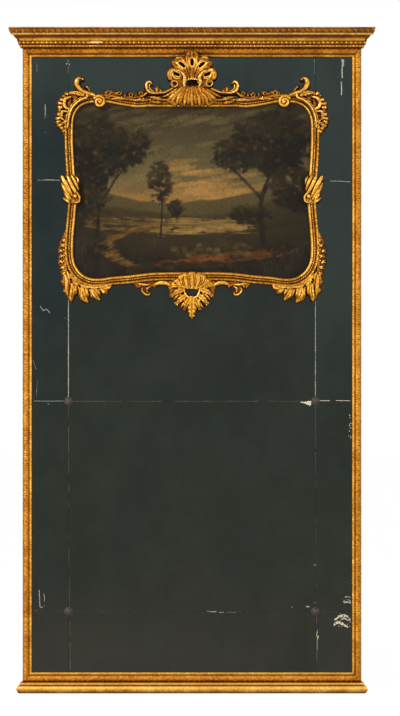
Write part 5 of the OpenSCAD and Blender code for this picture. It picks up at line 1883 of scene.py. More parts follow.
@dataclass(frozen=True)
class Crown:
    """The cornice or the base: a front length and two returns with mitred corners.

    Args:
        name: Start of its node names.
        foot: Height of its underside.
        section: Its section as (projection, height).
        finish: Its gilding.
        slot: Its material slot.
    """

    name: str
    foot: float
    section: Section
    finish: Gilding
    slot: str

    def patterns(self) -> list[tuple[Solid, float, float, float, float]]:
        """Running patterns: the template, its pitch, its projection, its height and how much darker it is."""
        return []

    def chip(self, front: Solid) -> None:
        """Marks where the front's gilding is chipped off."""

    def length(self, share: np.ndarray, side: bool) -> Solid:
        """Runs the section along the front, or along the left return.

        Args:
            share: Places along it, from -1 to 1.
            side: Whether it is the return.

        Returns:
            The plain moulding.
        """
        out, up = (np.tile(values, (len(share), 1)) for values in self.section.corners().T)
        x, y = share[:, None] * (X_BODY + out), -(T_PLANE + out)
        if side:
            x, y = -(X_BODY + out), y * share[:, None]
        return sweep(np.stack([x, y, up + self.foot], -1), self.section.hollow())

    def build(self, repeats: Repeats) -> None:
        """Makes the front length and both returns.

        Args:
            repeats: The Geometry Nodes group for its patterns.
        """
        front, back = [self.length(np.linspace(-1, 1, 90), False)], [self.length(np.linspace(0.02, 1, 8), True)]
        for n, (template, pitch, out, up, shade) in enumerate(self.patterns()):
            template.hollow = template.hollow + shade
            # The pattern along the front, cut at the mitres and at the frame's own depth.
            long = X_BODY + out
            line = np.array([[s * long, -(T_PLANE + out), self.foot + up] for s in np.linspace(-0.997, 0.997, 60)])
            run = repeats.along(line, template, pitch, self.finish, 31 + n)
            edge = X_BODY - T_PLANE - run.points[:, 1]
            run.points[:, 0] = np.clip(run.points[:, 0], -edge, edge)
            run.points[:, 1] = np.maximum(run.points[:, 1], -FRONT_LIMIT)
            front.append(run)
            # The same along the left return.
            deep = T_PLANE + out
            line = np.array([[s, 0.0, 0.0] for s in np.linspace(9, deep - pitch * 0.4, 12)])
            turn = [[0, 1, 0], [-1, 0, 0], [0, 0, 1]]
            run = repeats.along(line, template, pitch, self.finish, 41 + n).turned(turn, (-long, 0, self.foot + up))
            mitre = np.maximum(run.points[:, 0] + X_BODY - T_PLANE, -FRONT_LIMIT)
            run.points[:, 1] = np.clip(run.points[:, 1], mitre, -0.4)
            run.points[:, 0] = np.maximum(run.points[:, 0], -SIDE_LIMIT)
            back.append(run)
        whole, left = Solid.joined(front), Solid.joined(back)
        self.chip(whole)
        whole.piece(f"carved_{self.name}_front", self.finish, self.slot, (f"{self.name}_front",))
        both = Solid.joined([left, left.mirrored()])
        both.piece(f"carved_{self.name}_returns", self.finish, self.slot, (f"{self.name}_returns",))


class Cornice(Crown):
    """The cornice, with two carved astragals and a leaf pattern on its cyma."""

    def patterns(self) -> list[tuple[Solid, float, float, float, float]]:
        """Running patterns: the template, its pitch, its projection, its height and how much darker it is.

        Returns:
            One row for each pattern.
        """
        leaf = husk(21.0, 11.5, 2.3, -0.8)
        leaf.points[:, 1] -= 0.35 * leaf.points[:, 2]
        return [
            (bead(9.4, 8.0, 3.6, 0.8), 11.5, 7.2, 6.2, 0.0),
            (bead(11.5, 10.4, 3.2), 16.0, 13.2, 17.4, 0.12),
            (bead(3.0, 9.6, 3.0), 16.0, 13.2, 17.4, 0.12),
            (leaf, 21.0, 43.2, 56.6, 0.12),
        ]

    def chip(self, front: Solid) -> None:
        """Marks where the front's gilding is chipped off.

        Args:
            front: The front length.
        """
        x, up = front.points[:, 0], front.points[:, 2] - self.foot
        far = np.abs((x + 338) / 21) ** 3 + ((up - 18.6 - 1.2 * np.sin(x * 0.5)) / 4.2) ** 2
        front.hollow[far < 1] = -2.2


class Base(Crown):
    """The plain rounded base."""


def cornice_section() -> Section:
    """The cornice's section, from its underside round to its back.

    Returns:
        The section.
    """
    # Each corner's hollow sets how dark it is painted: the underside darker as painted shade, the grooves darker as
    # dirt and painted shade.
    rows = [(-27.8, 0.2, 0.8), (2.6, 0.2, 0.7), (3.6, 1.2, 0.9)]
    rows += shaded(arc((5.2, 6.2), 4.4, -68, 68, 9), 0.15)
    rows += [(7.0, 11.2, 0.95), (9.0, 11.9, 0.9)]
    rows += shaded(arc((10.6, 17.4), 5.2, -78, 78, 11), 0.35)
    rows += [(10.4, 23.2, 0.9), (9.5, 24.2, 0.3)]
    rows += [(24.6 - 15.0 * math.cos(a), 24.4 + 13.4 * math.sin(a), -0.1) for a in np.linspace(0.1, 1.45, 9)]
    rows += [(24.8, 38.4, 1.0), (25.2, 40.0, 1.0), (28.0, 40.8, 0.5), (31.6, 43.0, -0.3), (34.6, 45.8, -0.4)]
    rows += [(36.8, 48.4, -0.5), (37.0, 49.4, 0.6), (36.4, 50.0, 1.0), (38.4, 51.0, 0.9), (40.2, 52.4, 0.6)]
    rows += [(42.0, 54.6, 0.5), (43.6, 57.6, 0.5), (44.4, 60.4, 0.5)]
    rows += [(44.6, 62.4, 0.6), (44.4, 63.6, 0.9), (46.4, 64.2, 0.35), (46.9, 65.4, 0.15), (46.9, 68.3, 0.15)]
    rows += [(46.2, 68.95, 0.2), (18.0, 68.95, 0.6), (18.0, 59.05, 0.8), (-27.8, 59.05, 0.8)]
    return Section(tuple(rows))


def base_section() -> Section:
    """The base's section, from its underside round to its back.

    Returns:
        The section.
    """
    rows = [(-27.8, 0.1, 0.9), (13.5, 0.1, 0.8), (15.0, 1.6, 0.9)]
    # The torus is painted darker on its lower half, which faces down: painted shade.
    rows += [(8 + 12.9 * math.cos(a), 14.5 + 13.0 * math.sin(a), h) for a, h in zip(
        np.radians(np.linspace(-58, 84, 15)), np.linspace(0.4, -1.0, 15).clip(-0.4)
    )]
    rows += [(8.6, 27.9, 0.9), (4.6, 28.0, 1.0), (4.6, 29.6, 1.0), (9.4, 29.9, 0.2), (10.0, 30.8, -0.5)]
    rows += [(10.0, 34.2, -0.6), (8.8, 35.2, -0.3), (3.4, 38.0, 0.1), (1.4, 39.9, 0.5), (-27.8, 39.9, 0.9)]
    return Section(tuple(rows))


# The picture's rails


@dataclass(frozen=True)
class Cartouche:
    """The four serpentine rails round the canvas, with their rope carving.

    Args:
        steps: Pieces of the curve between two of its drawn points.
        rope: Spacing of the rope's strands.
        dimple: Spacing of the long swellings on its outer bead.
        rope_at: Where the rope lies: outwards from the sight edge, and out from the wall.
        bead_at: Where the swellings lie.
    """

    steps: int = 10
    rope: float = 8.6
    dimple: float = 19.0
    rope_at: tuple[float, float] = (15.8, 67.0)
    bead_at: tuple[float, float] = (26.4, 78.4)

    def sight(self) -> np.ndarray:
        """The left half of the sight edge, from the middle of the top to the middle of the bottom.

        Returns:
            Points of the line (x, z).
        """
        top, low = Z_PIC_TOP, Z_PIC_LOW
        points = [(x, top + z) for x, z in ((0, -22), (-77, -23.5), (-147, -22.5), (-191, -25), (-245, -18))]
        corner = ((126, -8.5), (97, -8.5), (70, -8.6), (51, -12), (30, -23), (14, -44), (6.6, -73), (5.6, -118))
        points += [(x - X_PIC, top + z) for x, z in corner]
        side = ((6.6, 145), (11, 71), (17.5, -26), (15, -79), (9, -145))
        points += [(x - X_PIC, Z_PIC_MID + z) for x, z in side]
        corner = ((6, 104), (10.5, 63), (24, 35), (45, 16), (70, 6.5), (105, 6), (140, 11.5))
        points += [(x - X_PIC, low + z) for x, z in corner]
        points += [(x, low + z) for x, z in ((-218, 16.5), (-147, 25), (-77, 27.5), (0, 27))]
        return spline(np.array(points, float), self.steps)

    def section(self) -> list[tuple[float, float, float]]:
        """Front of the section as (distance outwards, distance from the wall, hollow).

        Returns:
            The section's corners.
        """
        rows = [(0.0, 62.2, 0.9), (0.3, 65.0, 0.5), (1.4, 68.6, 0.1), (3.6, 71.4, -0.25), (6.2, 72.6, -0.5)]
        rows += [(9.0, 72.0, -0.35), (11.0, 70.0, 0.1), (12.0, 68.2, 0.5), (13.2, 67.2, 0.6), (15.8, 66.8, 0.5)]
        rows += [(18.6, 67.2, 0.6), (19.6, 68.6, 0.45), (20.6, 71.6, 0.25), (22.2, 75.4, 0.1), (24.6, 78.4, -0.3)]
        rows += [(27.0, 79.4, -0.45), (29.2, 77.8, -0.2), (30.9, 73.4, 0.0), (31.9, 66.0, 0.3), (32.0, 50.0, 0.7)]
        return rows

    def build(self, repeats: Repeats) -> None:
        """Makes the four rails.

        Args:
            repeats: The Geometry Nodes group for the ropes.
        """
        # The whole sight line, and at each of its points the direction outwards.
        left = self.sight()
        ring = np.concatenate([left, left[-2:0:-1] * [-1, 1]])
        normal = across(np.roll(ring, 1, 0) - np.roll(ring, -1, 0))
        top, low, total = 9 * self.steps, 21 * self.steps, len(ring)
        # The points of each rail, parted where the drawn corners begin and end.
        runs = {
            "cartouche_left_rail": np.arange(top, low + 1),
            "cartouche_bottom_rail": np.arange(low, total - low + 1),
            "cartouche_right_rail": np.arange(total - low, total - top + 1),
            "cartouche_top_rail": np.arange(total - top, total + top + 1) % total,
        }
        rows = self.section()
        for n, (name, chosen) in enumerate(runs.items()):
            rng = np.random.default_rng(70 + n)
            path, out = ring[chosen], normal[chosen]
            wave = np.abs(between(rng.normal(0, 0.35, 24), np.linspace(0, 1, len(path))))
            # The rail's front and back, then the rope in its hollow and the swellings on its bead.
            stations = [laid(path + out * w, t - wave * (t > 68)) for w, t, _ in rows]
            backs = [path + out * w for w in (32.0, 22.0, 11.0, 0.0)]
            stations += [laid(at, back_of(at[:, 0], at[:, 1])) for at in backs]
            parts = [sweep(np.stack(stations, 1), np.array([row[2] for row in rows] + [0.9] * len(backs)))]
            rope, crest = (laid(path + out * w, t) for w, t in (self.rope_at, self.bead_at))
            parts.append(repeats.along(rope, bead(11.5, 7.6, 5.0, 0.9), self.rope, GOLD, 80 + n, 0.12, 0.1))
            parts.append(repeats.along(crest, bead(15.0, 7.0, 1.4, 0.9), self.dimple, GOLD, 90 + n, 0.3, 0.14))
            made = Solid.joined(parts)
            # The top and bottom rails are painted darker than the side ones, as painted shade.
            made.hollow = made.hollow + (0.0 if n in (0, 2) else 0.16)
            made.piece("carved_" + name, GOLD, "gilding", (name,))


@dataclass(frozen=True)
class Volutes:
    """The pair of spirals where the corner scrolls meet the top rail.

    Args:
        centre: Middle of the left one (x, z).
        outer: Radius of the spiral at its start.
        inner: How much narrower it is at its end.
        turns: How often it goes round.
        field_half: Half the width and height of the field that it is carved in.
    """

    centre: tuple[float, float] = (-323.5, 2068.0)
    outer: float = 20.6
    inner: float = 16.4
    turns: float = 1.6
    field_half: tuple[float, float] = (38.5, 38.0)

    def build(self) -> None:
        """Carves both and makes the piece."""
        parts = []
        centre, field_half = np.array([self.centre]), np.array(self.field_half)
        for flip in (False, True):
            relief = Relief(tuple(centre[0] - field_half), tuple(centre[0] + field_half), 1.1, seed=17 + flip)
            turns = np.linspace(0, 2 * math.pi * self.turns, 26)
            radius = self.outer - turns / turns.max() * self.inner
            angle = 2.5 - turns
            path = centre + np.stack([radius * np.cos(angle), radius * np.sin(angle)], 1)
            Stroke("", "1.9 1.7 1.4 1", "40 43 45 46", 6).carve(relief, path)
            Knob("", 1.3, 46, 6).carve(relief, centre)
            Knob("", 5.9, 36, 3).carve(relief, centre)
            made = relief.solid()
            parts.append(made.mirrored() if flip else made)
        Solid.joined(parts).piece("corner_volutes", BRIGHT_GOLD, "gilding")


# The painted canvas


class Landscape:
    """Paints a made-up wooded valley in brush dabs on a grid of colours."""

    RATIO = 840.0 / 625.0

    def __init__(self, columns: int, rows: int, seed: int = 5) -> None:
        """Lays out the bare ground and its noise.

        Args:
            columns: Points across.
            rows: Points up.
            seed: Seed of the brushwork.
        """
        self.rng = np.random.default_rng(seed)
        self.u, self.v = np.meshgrid(np.linspace(0, 1, columns), np.linspace(0, 1, rows), indexing="ij")
        self.colour = np.zeros((columns, rows, 3))
        self.edge = smooth_noise(self.rng, (columns, rows), 1.6)
        self.patch = smooth_noise(self.rng, (columns, rows), 9.0)

    def pick(self, codes: str) -> str:
        """Chooses one of the colours at random."""
        return codes.split()[int(self.rng.integers(0, len(codes.split())))]

    def blend(self, mask: np.ndarray, colour: np.ndarray, part: tuple[slice, slice]) -> None:
        """Lays a colour over a part of the picture."""
        self.colour[part] += (colour - self.colour[part]) * mask[..., None]

    def dab(self, u: float, v: float, size: tuple[float, float], turn: float, code: str, strength: float) -> None:
        """Lays one brush dab.

        Args:
            u: Place across, from 0 to 1.
            v: Place up, from 0 to 1.
            size: Half-length and half-width, as shares of the height.
            turn: Direction of the stroke, in radians.
            code: Its colour.
            strength: How opaque it is.
        """
        reach = max(size) * 1.6
        columns, rows = self.u.shape
        i0, i1 = int((u - reach / self.RATIO) * columns), int((u + reach / self.RATIO) * columns) + 2
        k0, k1 = int((v - reach) * rows), int((v + reach) * rows) + 2
        part = (slice(max(i0, 0), max(i1, 0)), slice(max(k0, 0), max(k1, 0)))
        du, dv = (self.u[part] - u) * self.RATIO, self.v[part] - v
        a = du * math.cos(turn) + dv * math.sin(turn)
        b = dv * math.cos(turn) - du * math.sin(turn)
        far = (a / size[0]) ** 2 + (b / size[1]) ** 2
        mask = np.clip((1.25 - far + (self.edge[part] - 0.5) * 1.6) * 1.4, 0, 1) * strength
        self.blend(mask, np.array(linear(code)[:3]), part)

    def foliage(
        self,
        u: float,
        v: float,
        size: tuple[float, float],
        count: int,
        codes: tuple[str, str, str],
        leaf: float,
    ) -> None:
        """Fills an oval with leafy dabs, darker inside and below, with a few lights on top.

        Args:
            u: Middle across.
            v: Middle up.
            size: Half its width and height.
            count: Number of dabs.
            codes: Colours from dark to light.
            leaf: Size of a dab.
        """
        for n in range(count):
            turn, far = self.rng.uniform(0, 2 * math.pi), math.sqrt(self.rng.random()) * self.rng.uniform(0.75, 1.12)
            pu, pv = u + size[0] * far * math.cos(turn), v + size[1] * far * math.sin(turn)
            light = 0.5 + 0.5 * math.sin(turn) * far
            code = codes[2] if n > count * 0.7 and self.rng.random() < 0.25 * light else codes[int(light > 0.62)]
            spread = leaf * self.rng.uniform(0.6, 1.5)
            self.dab(pu, pv, (spread, spread * 0.55), self.rng.uniform(-0.9, 0.9), code, self.rng.uniform(0.35, 0.8))

    def limb(self, points: list[tuple[float, float]], widths: tuple[float, float], code: str) -> None:
        """Paints a trunk or branch along points.

        Args:
            points: Points along it.
            widths: Half-widths at its foot and its tip.
            code: Its colour.
        """
        line = spline(np.array(points, float), 12)
        for n, (u, v) in enumerate(line):
            wide = widths[0] + (widths[1] - widths[0]) * n / len(line)
            self.dab(u, v, (0.014, wide), 1.5, code, 0.8)

    def ridge(self, heights: list[float], colours: tuple[str, str], soft: float) -> None:
        """Paints everything below a skyline.

        Args:
            heights: The skyline from left to right.
            colours: Its colours at the top and lower down.
            soft: Width of its edge.
        """
        line = between(heights, self.u[:, :1]) + (self.patch - 0.5) * 0.03
        mask = np.clip((line - self.v) / soft, 0, 1)
        fall = np.clip((line - self.v) / 0.16, 0, 1)[..., None]
        tone = np.array(linear(colours[0])[:3]) * (1 - fall) + np.array(linear(colours[1])[:3]) * fall
        self.colour += (tone - self.colour) * mask[..., None]

    def paint(self) -> np.ndarray:
        """Paints the whole picture.

        Returns:
            Linear colours on the grid.
        """
        heights = [0.0, 0.36, 0.44, 0.56, 0.72, 0.86, 1.0]
        codes = ["#a88a52", "#b8935a", "#a5875a", "#776e50", "#625c47", "#4a4434", "#3b3427"]
        sky = np.array([linear(c)[:3] for c in codes])
        # The evening sky, its long clouds and the glow low down in it.
        for band in range(3):
            self.colour[..., band] = np.interp(self.v + (self.patch - 0.5) * 0.08, heights, sky[:, band])
        for _ in range(190):
            v = self.rng.uniform(0.5, 1.0)
            code = self.pick("#6e6a52 #80775a #54503f #3f3a2d")
            size = (self.rng.uniform(0.05, 0.16), self.rng.uniform(0.01, 0.026))
            self.dab(self.rng.random(), v, size, self.rng.uniform(0.05, 0.4), code, 0.28)
        for _ in range(60):
            u, v = self.rng.normal(0.56, 0.1), self.rng.normal(0.53, 0.05)
            self.dab(u, v, (0.09, 0.014), 0.1, self.pick("#b8955f #c6a069"), 0.3)
        # The far hills and the near ones.
        self.ridge([0.47, 0.5, 0.46, 0.43, 0.44, 0.46, 0.49, 0.55, 0.52], ("#5f5840", "#494432"), 0.012)
        self.ridge([0.40, 0.41, 0.40, 0.37, 0.36, 0.37, 0.41, 0.46, 0.47], ("#463f2c", "#2f2b21"), 0.012)
        # The light on the river, then the near bank, its earth, its grass and the path.
        for _ in range(150):
            u, v = self.rng.uniform(0.34, 0.72), self.rng.uniform(0.255, 0.345)
            code = self.pick("#8b7648 #a98d58 #5d543b #bb9c66")
            self.dab(u, v, (self.rng.uniform(0.03, 0.09), 0.005), 0.0, code, 0.5)
        self.ridge([0.33, 0.31, 0.27, 0.235, 0.22, 0.23, 0.26, 0.30, 0.32], ("#3a3324", "#231f19"), 0.02)
        for n in range(90):
            u = self.rng.uniform(0.3, 0.95)
            v = 0.08 + 0.13 * (u - 0.3) + self.rng.normal(0, 0.012)
            self.dab(u, v, (self.rng.uniform(0.03, 0.07), 0.009), 0.1, ["#7a4a22", "#8a5528", "#4d3219"][n % 3], 0.45)
        for n in range(150):
            u = self.rng.uniform(0.02, 0.4)
            v = 0.335 - 0.12 * u + self.rng.normal(0, 0.022)
            code = ["#75643c", "#8f7a48", "#54492f", "#3d3523"][n % 4]
            self.dab(u, v, (self.rng.uniform(0.02, 0.06), 0.006), -0.12, code, 0.42)
        for n in range(110):
            share = self.rng.random()
            u, v = 0.30 - 0.16 * math.sin(3.1 * share), 0.30 - 0.24 * share
            code = ["#7b5f38", "#93753f", "#5f4529"][n % 3]
            self.dab(u + self.rng.normal(0, 0.012), v, (0.03, 0.008), 0.2, code, 0.4)
        for _ in range(46):
            u, v = self.rng.uniform(0.42, 0.74), self.rng.uniform(0.13, 0.2)
            self.dab(u, v, (0.02, 0.012), 0.1, self.pick("#5c5138 #463f2d #786a48"), 0.45)
        dark, deep = ("#1f1c17", "#2c271b", "#433820"), ("#191713", "#262217", "#41371f")
        # The near tree on the left, the slender one beside it, then the wide one on the right and the undergrowth.
        self.limb([(0.09, 0.14), (0.11, 0.34), (0.10, 0.55), (0.13, 0.8)], (0.016, 0.006), "#1f1a14")
        self.limb([(0.11, 0.4), (0.18, 0.56), (0.24, 0.66)], (0.009, 0.004), "#1f1a14")
        self.foliage(0.10, 0.70, (0.13, 0.22), 520, deep, 0.024)
        self.foliage(0.24, 0.74, (0.09, 0.10), 240, deep, 0.02)
        self.foliage(0.05, 0.42, (0.10, 0.12), 200, dark, 0.022)
        self.limb([(0.37, 0.24), (0.375, 0.42), (0.36, 0.56)], (0.007, 0.003), "#251f17")
        self.foliage(0.365, 0.55, (0.05, 0.12), 170, dark, 0.016)
        self.foliage(0.43, 0.40, (0.035, 0.05), 80, dark, 0.013)
        self.limb([(0.80, 0.2), (0.785, 0.42), (0.82, 0.6), (0.80, 0.84)], (0.02, 0.007), "#1d1913")
        self.limb([(0.79, 0.45), (0.70, 0.58), (0.64, 0.66)], (0.01, 0.004), "#1d1913")
        self.limb([(0.80, 0.5), (0.89, 0.62), (0.95, 0.7)], (0.01, 0.004), "#1d1913")
        self.foliage(0.84, 0.76, (0.17, 0.18), 680, deep, 0.024)
        self.foliage(0.68, 0.70, (0.09, 0.09), 230, deep, 0.019)
        self.foliage(0.93, 0.50, (0.10, 0.13), 260, dark, 0.022)
        self.foliage(0.74, 0.36, (0.09, 0.05), 150, dark, 0.016)
        self.foliage(0.06, 0.17, (0.09, 0.07), 170, dark, 0.018)
        self.foliage(0.33, 0.12, (0.05, 0.035), 90, dark, 0.013)
        self.foliage(0.93, 0.17, (0.12, 0.08), 220, dark, 0.02)
        self.foliage(0.5, 0.05, (0.3, 0.05), 260, dark, 0.02)
        # The varnish is darker towards the corners and uneven.
        shade = 1 - 0.55 * np.clip(np.hypot((self.u - 0.5) / 0.6, (self.v - 0.52) / 0.62) - 0.55, 0, 1)
        self.colour *= (0.8 + 0.28 * self.patch * shade)[..., None] * shade[..., None]
        self.colour *= 0.93 + 0.14 * self.edge[..., None]
        return np.clip(self.colour * [0.7, 0.59, 0.4], 0, 1)


@dataclass(frozen=True)
class Canvas:
    """The stretched canvas: its painted face, its sides and its turned edges.

    Args:
        pitch: Spacing of its points.
        turn: Width of the edge that is turned over the stretcher's back.
        gap: How far it keeps inside the picture's edge and in front of the stretcher's back.
        sag: How far its face sags at most.
    """

    pitch: float = 2.4
    turn: float = 24.0
    gap: float = 0.2
    sag: float = 0.8

    def build(self) -> None:
        half = np.array([X_PIC, (Z_PIC_TOP - Z_PIC_LOW) / 2]) - self.gap
        columns, rows = ((2 * (half + self.gap) / self.pitch).astype(int) + 1).tolist()
        gx, gz = np.meshgrid(np.linspace(-1, 1, columns), np.linspace(-1, 1, rows), indexing="ij")
        # The face sags a little between its edges.
        sag = smooth_noise(np.random.default_rng(3), gx.shape, 30) * self.sag * (1 - gx**4) * (1 - gz**4)
        face = np.stack([gx * half[0], -(T_CANVAS - 0.1) + sag, gz * half[1] + Z_PIC_MID], -1).reshape(-1, 3)
        number = np.arange(columns * rows).reshape(columns, rows)
        quads = np.stack([number[:-1, :-1], number[1:, :-1], number[1:, 1:], number[:-1, 1:]], -1).reshape(-1, 4)
        # Two rings follow its rim: down the stretcher's side, and in over its back.
        rim = np.concatenate([number[:, 0], number[-1, 1:], number[-2::-1, -1], number[0, -2:0:-1]])
        points, faces, last = [face], [quads], rim
        for inset in (0.0, self.turn):
            ring = (face[rim][:, [0, 2]] - [0, Z_PIC_MID]) * (half - inset) / half + [0, Z_PIC_MID]
            here = np.arange(len(ring)) + sum(len(p) for p in points)
            faces.append(np.stack([last, here, np.roll(here, -1), np.roll(last, -1)], 1))
            points.append(laid(ring, T_STRETCHER + self.gap))
            last = here
        solid = Solid(np.concatenate(points), np.concatenate(faces))
        sheet = solid.piece("painted_canvas", Paint("varnished oil paint"), "painted_canvas", ("canvas",))
        # The rings are bare linen, the face is painted.
        sheet.data.materials.append(Linen("turned linen").material())
        where = np.zeros(len(sheet.data.polygons), np.int32)
        where[len(quads) :] = 1
        sheet.data.polygons.foreach_set("material_index", where)
        colours = np.ones((len(solid.points), 4), np.float32)
        colours[: columns * rows, :3] = Landscape(columns, rows).paint().reshape(-1, 3)
        paint = sheet.data.attributes.new("paint", "FLOAT_COLOR", "POINT")
        paint.data.foreach_set("color", colours.ravel())


# The mirror plates' losses, painted edge highlights and bosses


@dataclass(frozen=True)
class LossesAndEdgeHighlights:
    """Worn silvering and painted light: joints painted pale as highlights on the plates' edges, scratches and flakes,
    as thin scales on the glass.

    A line has its points, its half-width on the grid, its tone and the share that is left out. A flake has its
    points, its half-widths and its tone. A cluster has two corners and the number of its flakes.

    Args:
        front: How far they stand in front of the glass.
        back: How far their backs do.
        step: Spacing of the points along a line.
    """

    front: float = 0.28
    back: float = 0.03
    step: float = 1.6
    LINES: ClassVar[str] = """
    line 68.3,300 68.3,352 68.3,399 / 0.36 0.74 0
    line 315.5,300 315.5,352 315.5,399 / 0.34 0.7 0
    line 68.4,404 68.6,520 69.2,610 / 0.16 0.36 0.25
    line 315.6,404 315.8,520 316.4,610 / 0.16 0.3 0.3
    line 69.5,613 70,671 / 0.17 0.42 0.3
    line 316.6,613 317,671 / 0.2 0.45 0.3
    line 68.0,59 68.2,78 / 0.26 0.5 0.35
    line 314.4,59 314.6,82 / 0.24 0.5 0.3
    line 33,401 50,401.2 65.4,401 / 0.24 0.64 0.06
    line 71,401.2 190,401.2 313,401.2 / 0.2 0.34 0.2
    line 319,400.8 336,400.6 351,400.8 / 0.34 0.82 0.35
    line 33,611 68,611.4 / 0.2 0.3 0.4
    line 71,611.6 190,612 314,612 / 0.2 0.14 0.25
    line 319,612 351,612 / 0.2 0.26 0.3
    line 33,180 41,180 / 0.24 0.5 0.3
    line 41,180 48,179.6 60,180.2 / 0.5 0.6 0.3
    line 324,180.6 340,181 351,181.6 / 0.34 0.62 0.4
    line 45,103.6 45.2,111 45,118.4 / 0.5 0.55 0.05
    line 45,131.6 45.2,132.8 / 0.5 0.6 0
    line 40,306 43,310.6 46.4,309 49.8,313 / 0.34 0.72 0.15
    line 64.8,317.8 65.2,318.6 / 0.5 0.66 0
    line 33,360 36.4,371 37.2,382 36,399 / 0.2 0.46 0.3
    line 47.8,403.6 48.6,404.6 / 0.5 0.7 0
    line 39,590 39.4,599 39.8,607 42.6,608 / 0.36 0.7 0
    line 43.6,594 44.4,598 44,602 / 0.36 0.66 0
    line 44,605.4 44.2,606.6 / 0.4 0.7 0
    line 342,58.6 342.6,63 342.2,70 342.4,78 / 0.6 0.74 0
    line 343.4,59 343.8,66 / 0.6 0.66 0
    line 341.5,81 341.8,89 341.4,95 / 0.5 0.8 0
    line 36,62 37,66 36.6,72 / 0.5 0.42 0.1
    line 67.2,63.6 68.2,66.4 / 0.8 0.62 0
    line 317.4,630 317,640 317.4,650 / 0.4 0.7 0.3
    line 314.8,564.6 315.2,565.6 / 0.6 0.8 0
    line 207,611.4 212,612 217,611.8 / 0.42 0.66 0.1
    line 219,612.8 224,612.4 / 0.36 0.5 0.1
    line 226,612.4 231,612 236,612.6 / 0.42 0.62 0.1
    line 291.4,607.2 292.8,607.4 / 0.5 0.66 0
    line 313.4,603.4 316,602.6 / 0.4 0.42 0
    """
    FLAKES: ClassVar[str] = """
    flake 300.6,402.2 304,402.6 307.6,403 311.2,403.2 / 0.3 0.8 1.8 2.6 / 1.0
    flake 306,606.8 309.6,607 / 0.5 0.6 / 0.75
    flake 316.6,634 317.6,637 317,641 / 0.5 1.1 0.5 / 0.95
    flake 334.6,620.4 338,618 342.4,615.8 346,616.2 349.6,618.6 / 0.6 1 1.2 0.9 0.5 / 0.96
    flake 341.6,619.6 345,618.8 348.4,621 / 0.5 0.7 0.4 / 0.85
    flake 334,626 336.2,623.4 339,622.6 343,624.4 348,627.4 / 0.6 1.2 1.4 1.2 0.6 / 1.0
    flake 347.6,616 350,619.4 350.4,623 / 0.3 0.5 0.3 / 0.8
    flake 344.4,603 347.6,602.2 351,603.4 / 0.5 0.7 0.6 / 0.78
    flake 345,598.4 347.6,596.6 350.6,598 / 0.3 0.5 0.4 / 0.62
    flake 66.2,62.8 67.4,64.6 68.8,66.4 / 0.5 0.7 0.3 / 0.7
    flake 70,63 69.2,65 / 0.3 0.4 / 0.6
    """
    CLUSTERS: ClassVar[tuple] = (
        ((335, 614), (350, 627), 22),
        ((343, 596), (350.5, 603), 12),
        ((349, 415), (351, 440), 12),
    )

    def scale(self, rows: ArrayLike, half: ArrayLike, tone: float, rng: np.random.Generator) -> Solid:
        """Makes one thin scale along points, with ragged edges.

        Args:
            rows: Points along it.
            half: Half its width at each point.
            tone: Its tone, from 0 for dark to 1 for pale.
            rng: Source of its ragged edges.

        Returns:
            The scale.
        """
        path = np.array(rows)
        normal = across(np.gradient(path, axis=0))
        wide = np.array(half)[:, None]
        left = path + normal * wide * rng.uniform(0.6, 1.3, (len(path), 1))
        right = path - normal * wide * rng.uniform(0.6, 1.3, (len(path), 1))
        corners = ((left, self.front), (right, self.front), (right, self.back), (left, self.back))
        made = sweep(np.stack([laid(side, T_FACE + t) for side, t in corners], 1), np.full(4, tone))
        made.hollow = np.full(len(made.points), tone)
        return made

    def build(self) -> None:
        """Makes all the marks as one piece."""
        rng = np.random.default_rng(9)
        parts = []
        # The joints, pale where they stand for painted highlights on the plates' edges, and the scratches, in runs
        # with gaps between them.
        for _, drawing, (measures,) in read_rows(self.LINES):
            path = drawn(read_points(drawing))
            half, tone, gaps = numbers(measures)
            length = np.concatenate([[0], np.cumsum(np.hypot(*np.diff(path, axis=0).T))])
            at = np.arange(0, length[-1] + self.step, self.step)
            line = np.stack([np.interp(at, length, path[:, 0]), np.interp(at, length, path[:, 1])], 1)
            line += rng.normal(0, 0.16, line.shape) * (half > 0.25)
            taper = np.clip(np.minimum(at, length[-1] - at) / 5 + 0.35, 0.35, 1)
            start = 0
            while start < len(line) - 1:
                stop = min(start + int(rng.integers(5, 26)), len(line) - 1)
                if rng.random() >= gaps:
                    wide = half * GRID * taper[start : stop + 1]
                    parts.append(self.scale(line[start : stop + 1], wide, tone + rng.normal(0, 0.06), rng))
                start = stop
        # The larger flakes.
        for _, drawing, (widths, tone) in read_rows(self.FLAKES):
            path = spline(drawn(read_points(drawing)), 5)
            wide = between(numbers(widths) * GRID, np.linspace(0, 1, len(path)))
            parts.append(self.scale(path, wide, float(tone), rng))
        # The scatters of small flakes.
        for low, high, count in self.CLUSTERS:
            for _ in range(count):
                centre = drawn([(rng.uniform(low[0], high[0]), rng.uniform(low[1], high[1]))])[0]
                turn, size = rng.uniform(0, math.pi), rng.uniform(1.2, 6.0)
                step = np.array([math.cos(turn), math.sin(turn)]) * size / 3
                rows = [centre + step * k for k in (-1.5, -0.5, 0.5, 1.5)]
                wide = np.array([0.3, 1.0, 0.9, 0.3]) * rng.uniform(0.8, 2.6)
                parts.append(self.scale(rows, wide, rng.uniform(0.75, 1.0), rng))
        Solid.joined(parts).piece("silvering_losses", LossAndEdgeHighlight("lost silvering and edge highlights"), "mirror_glass")


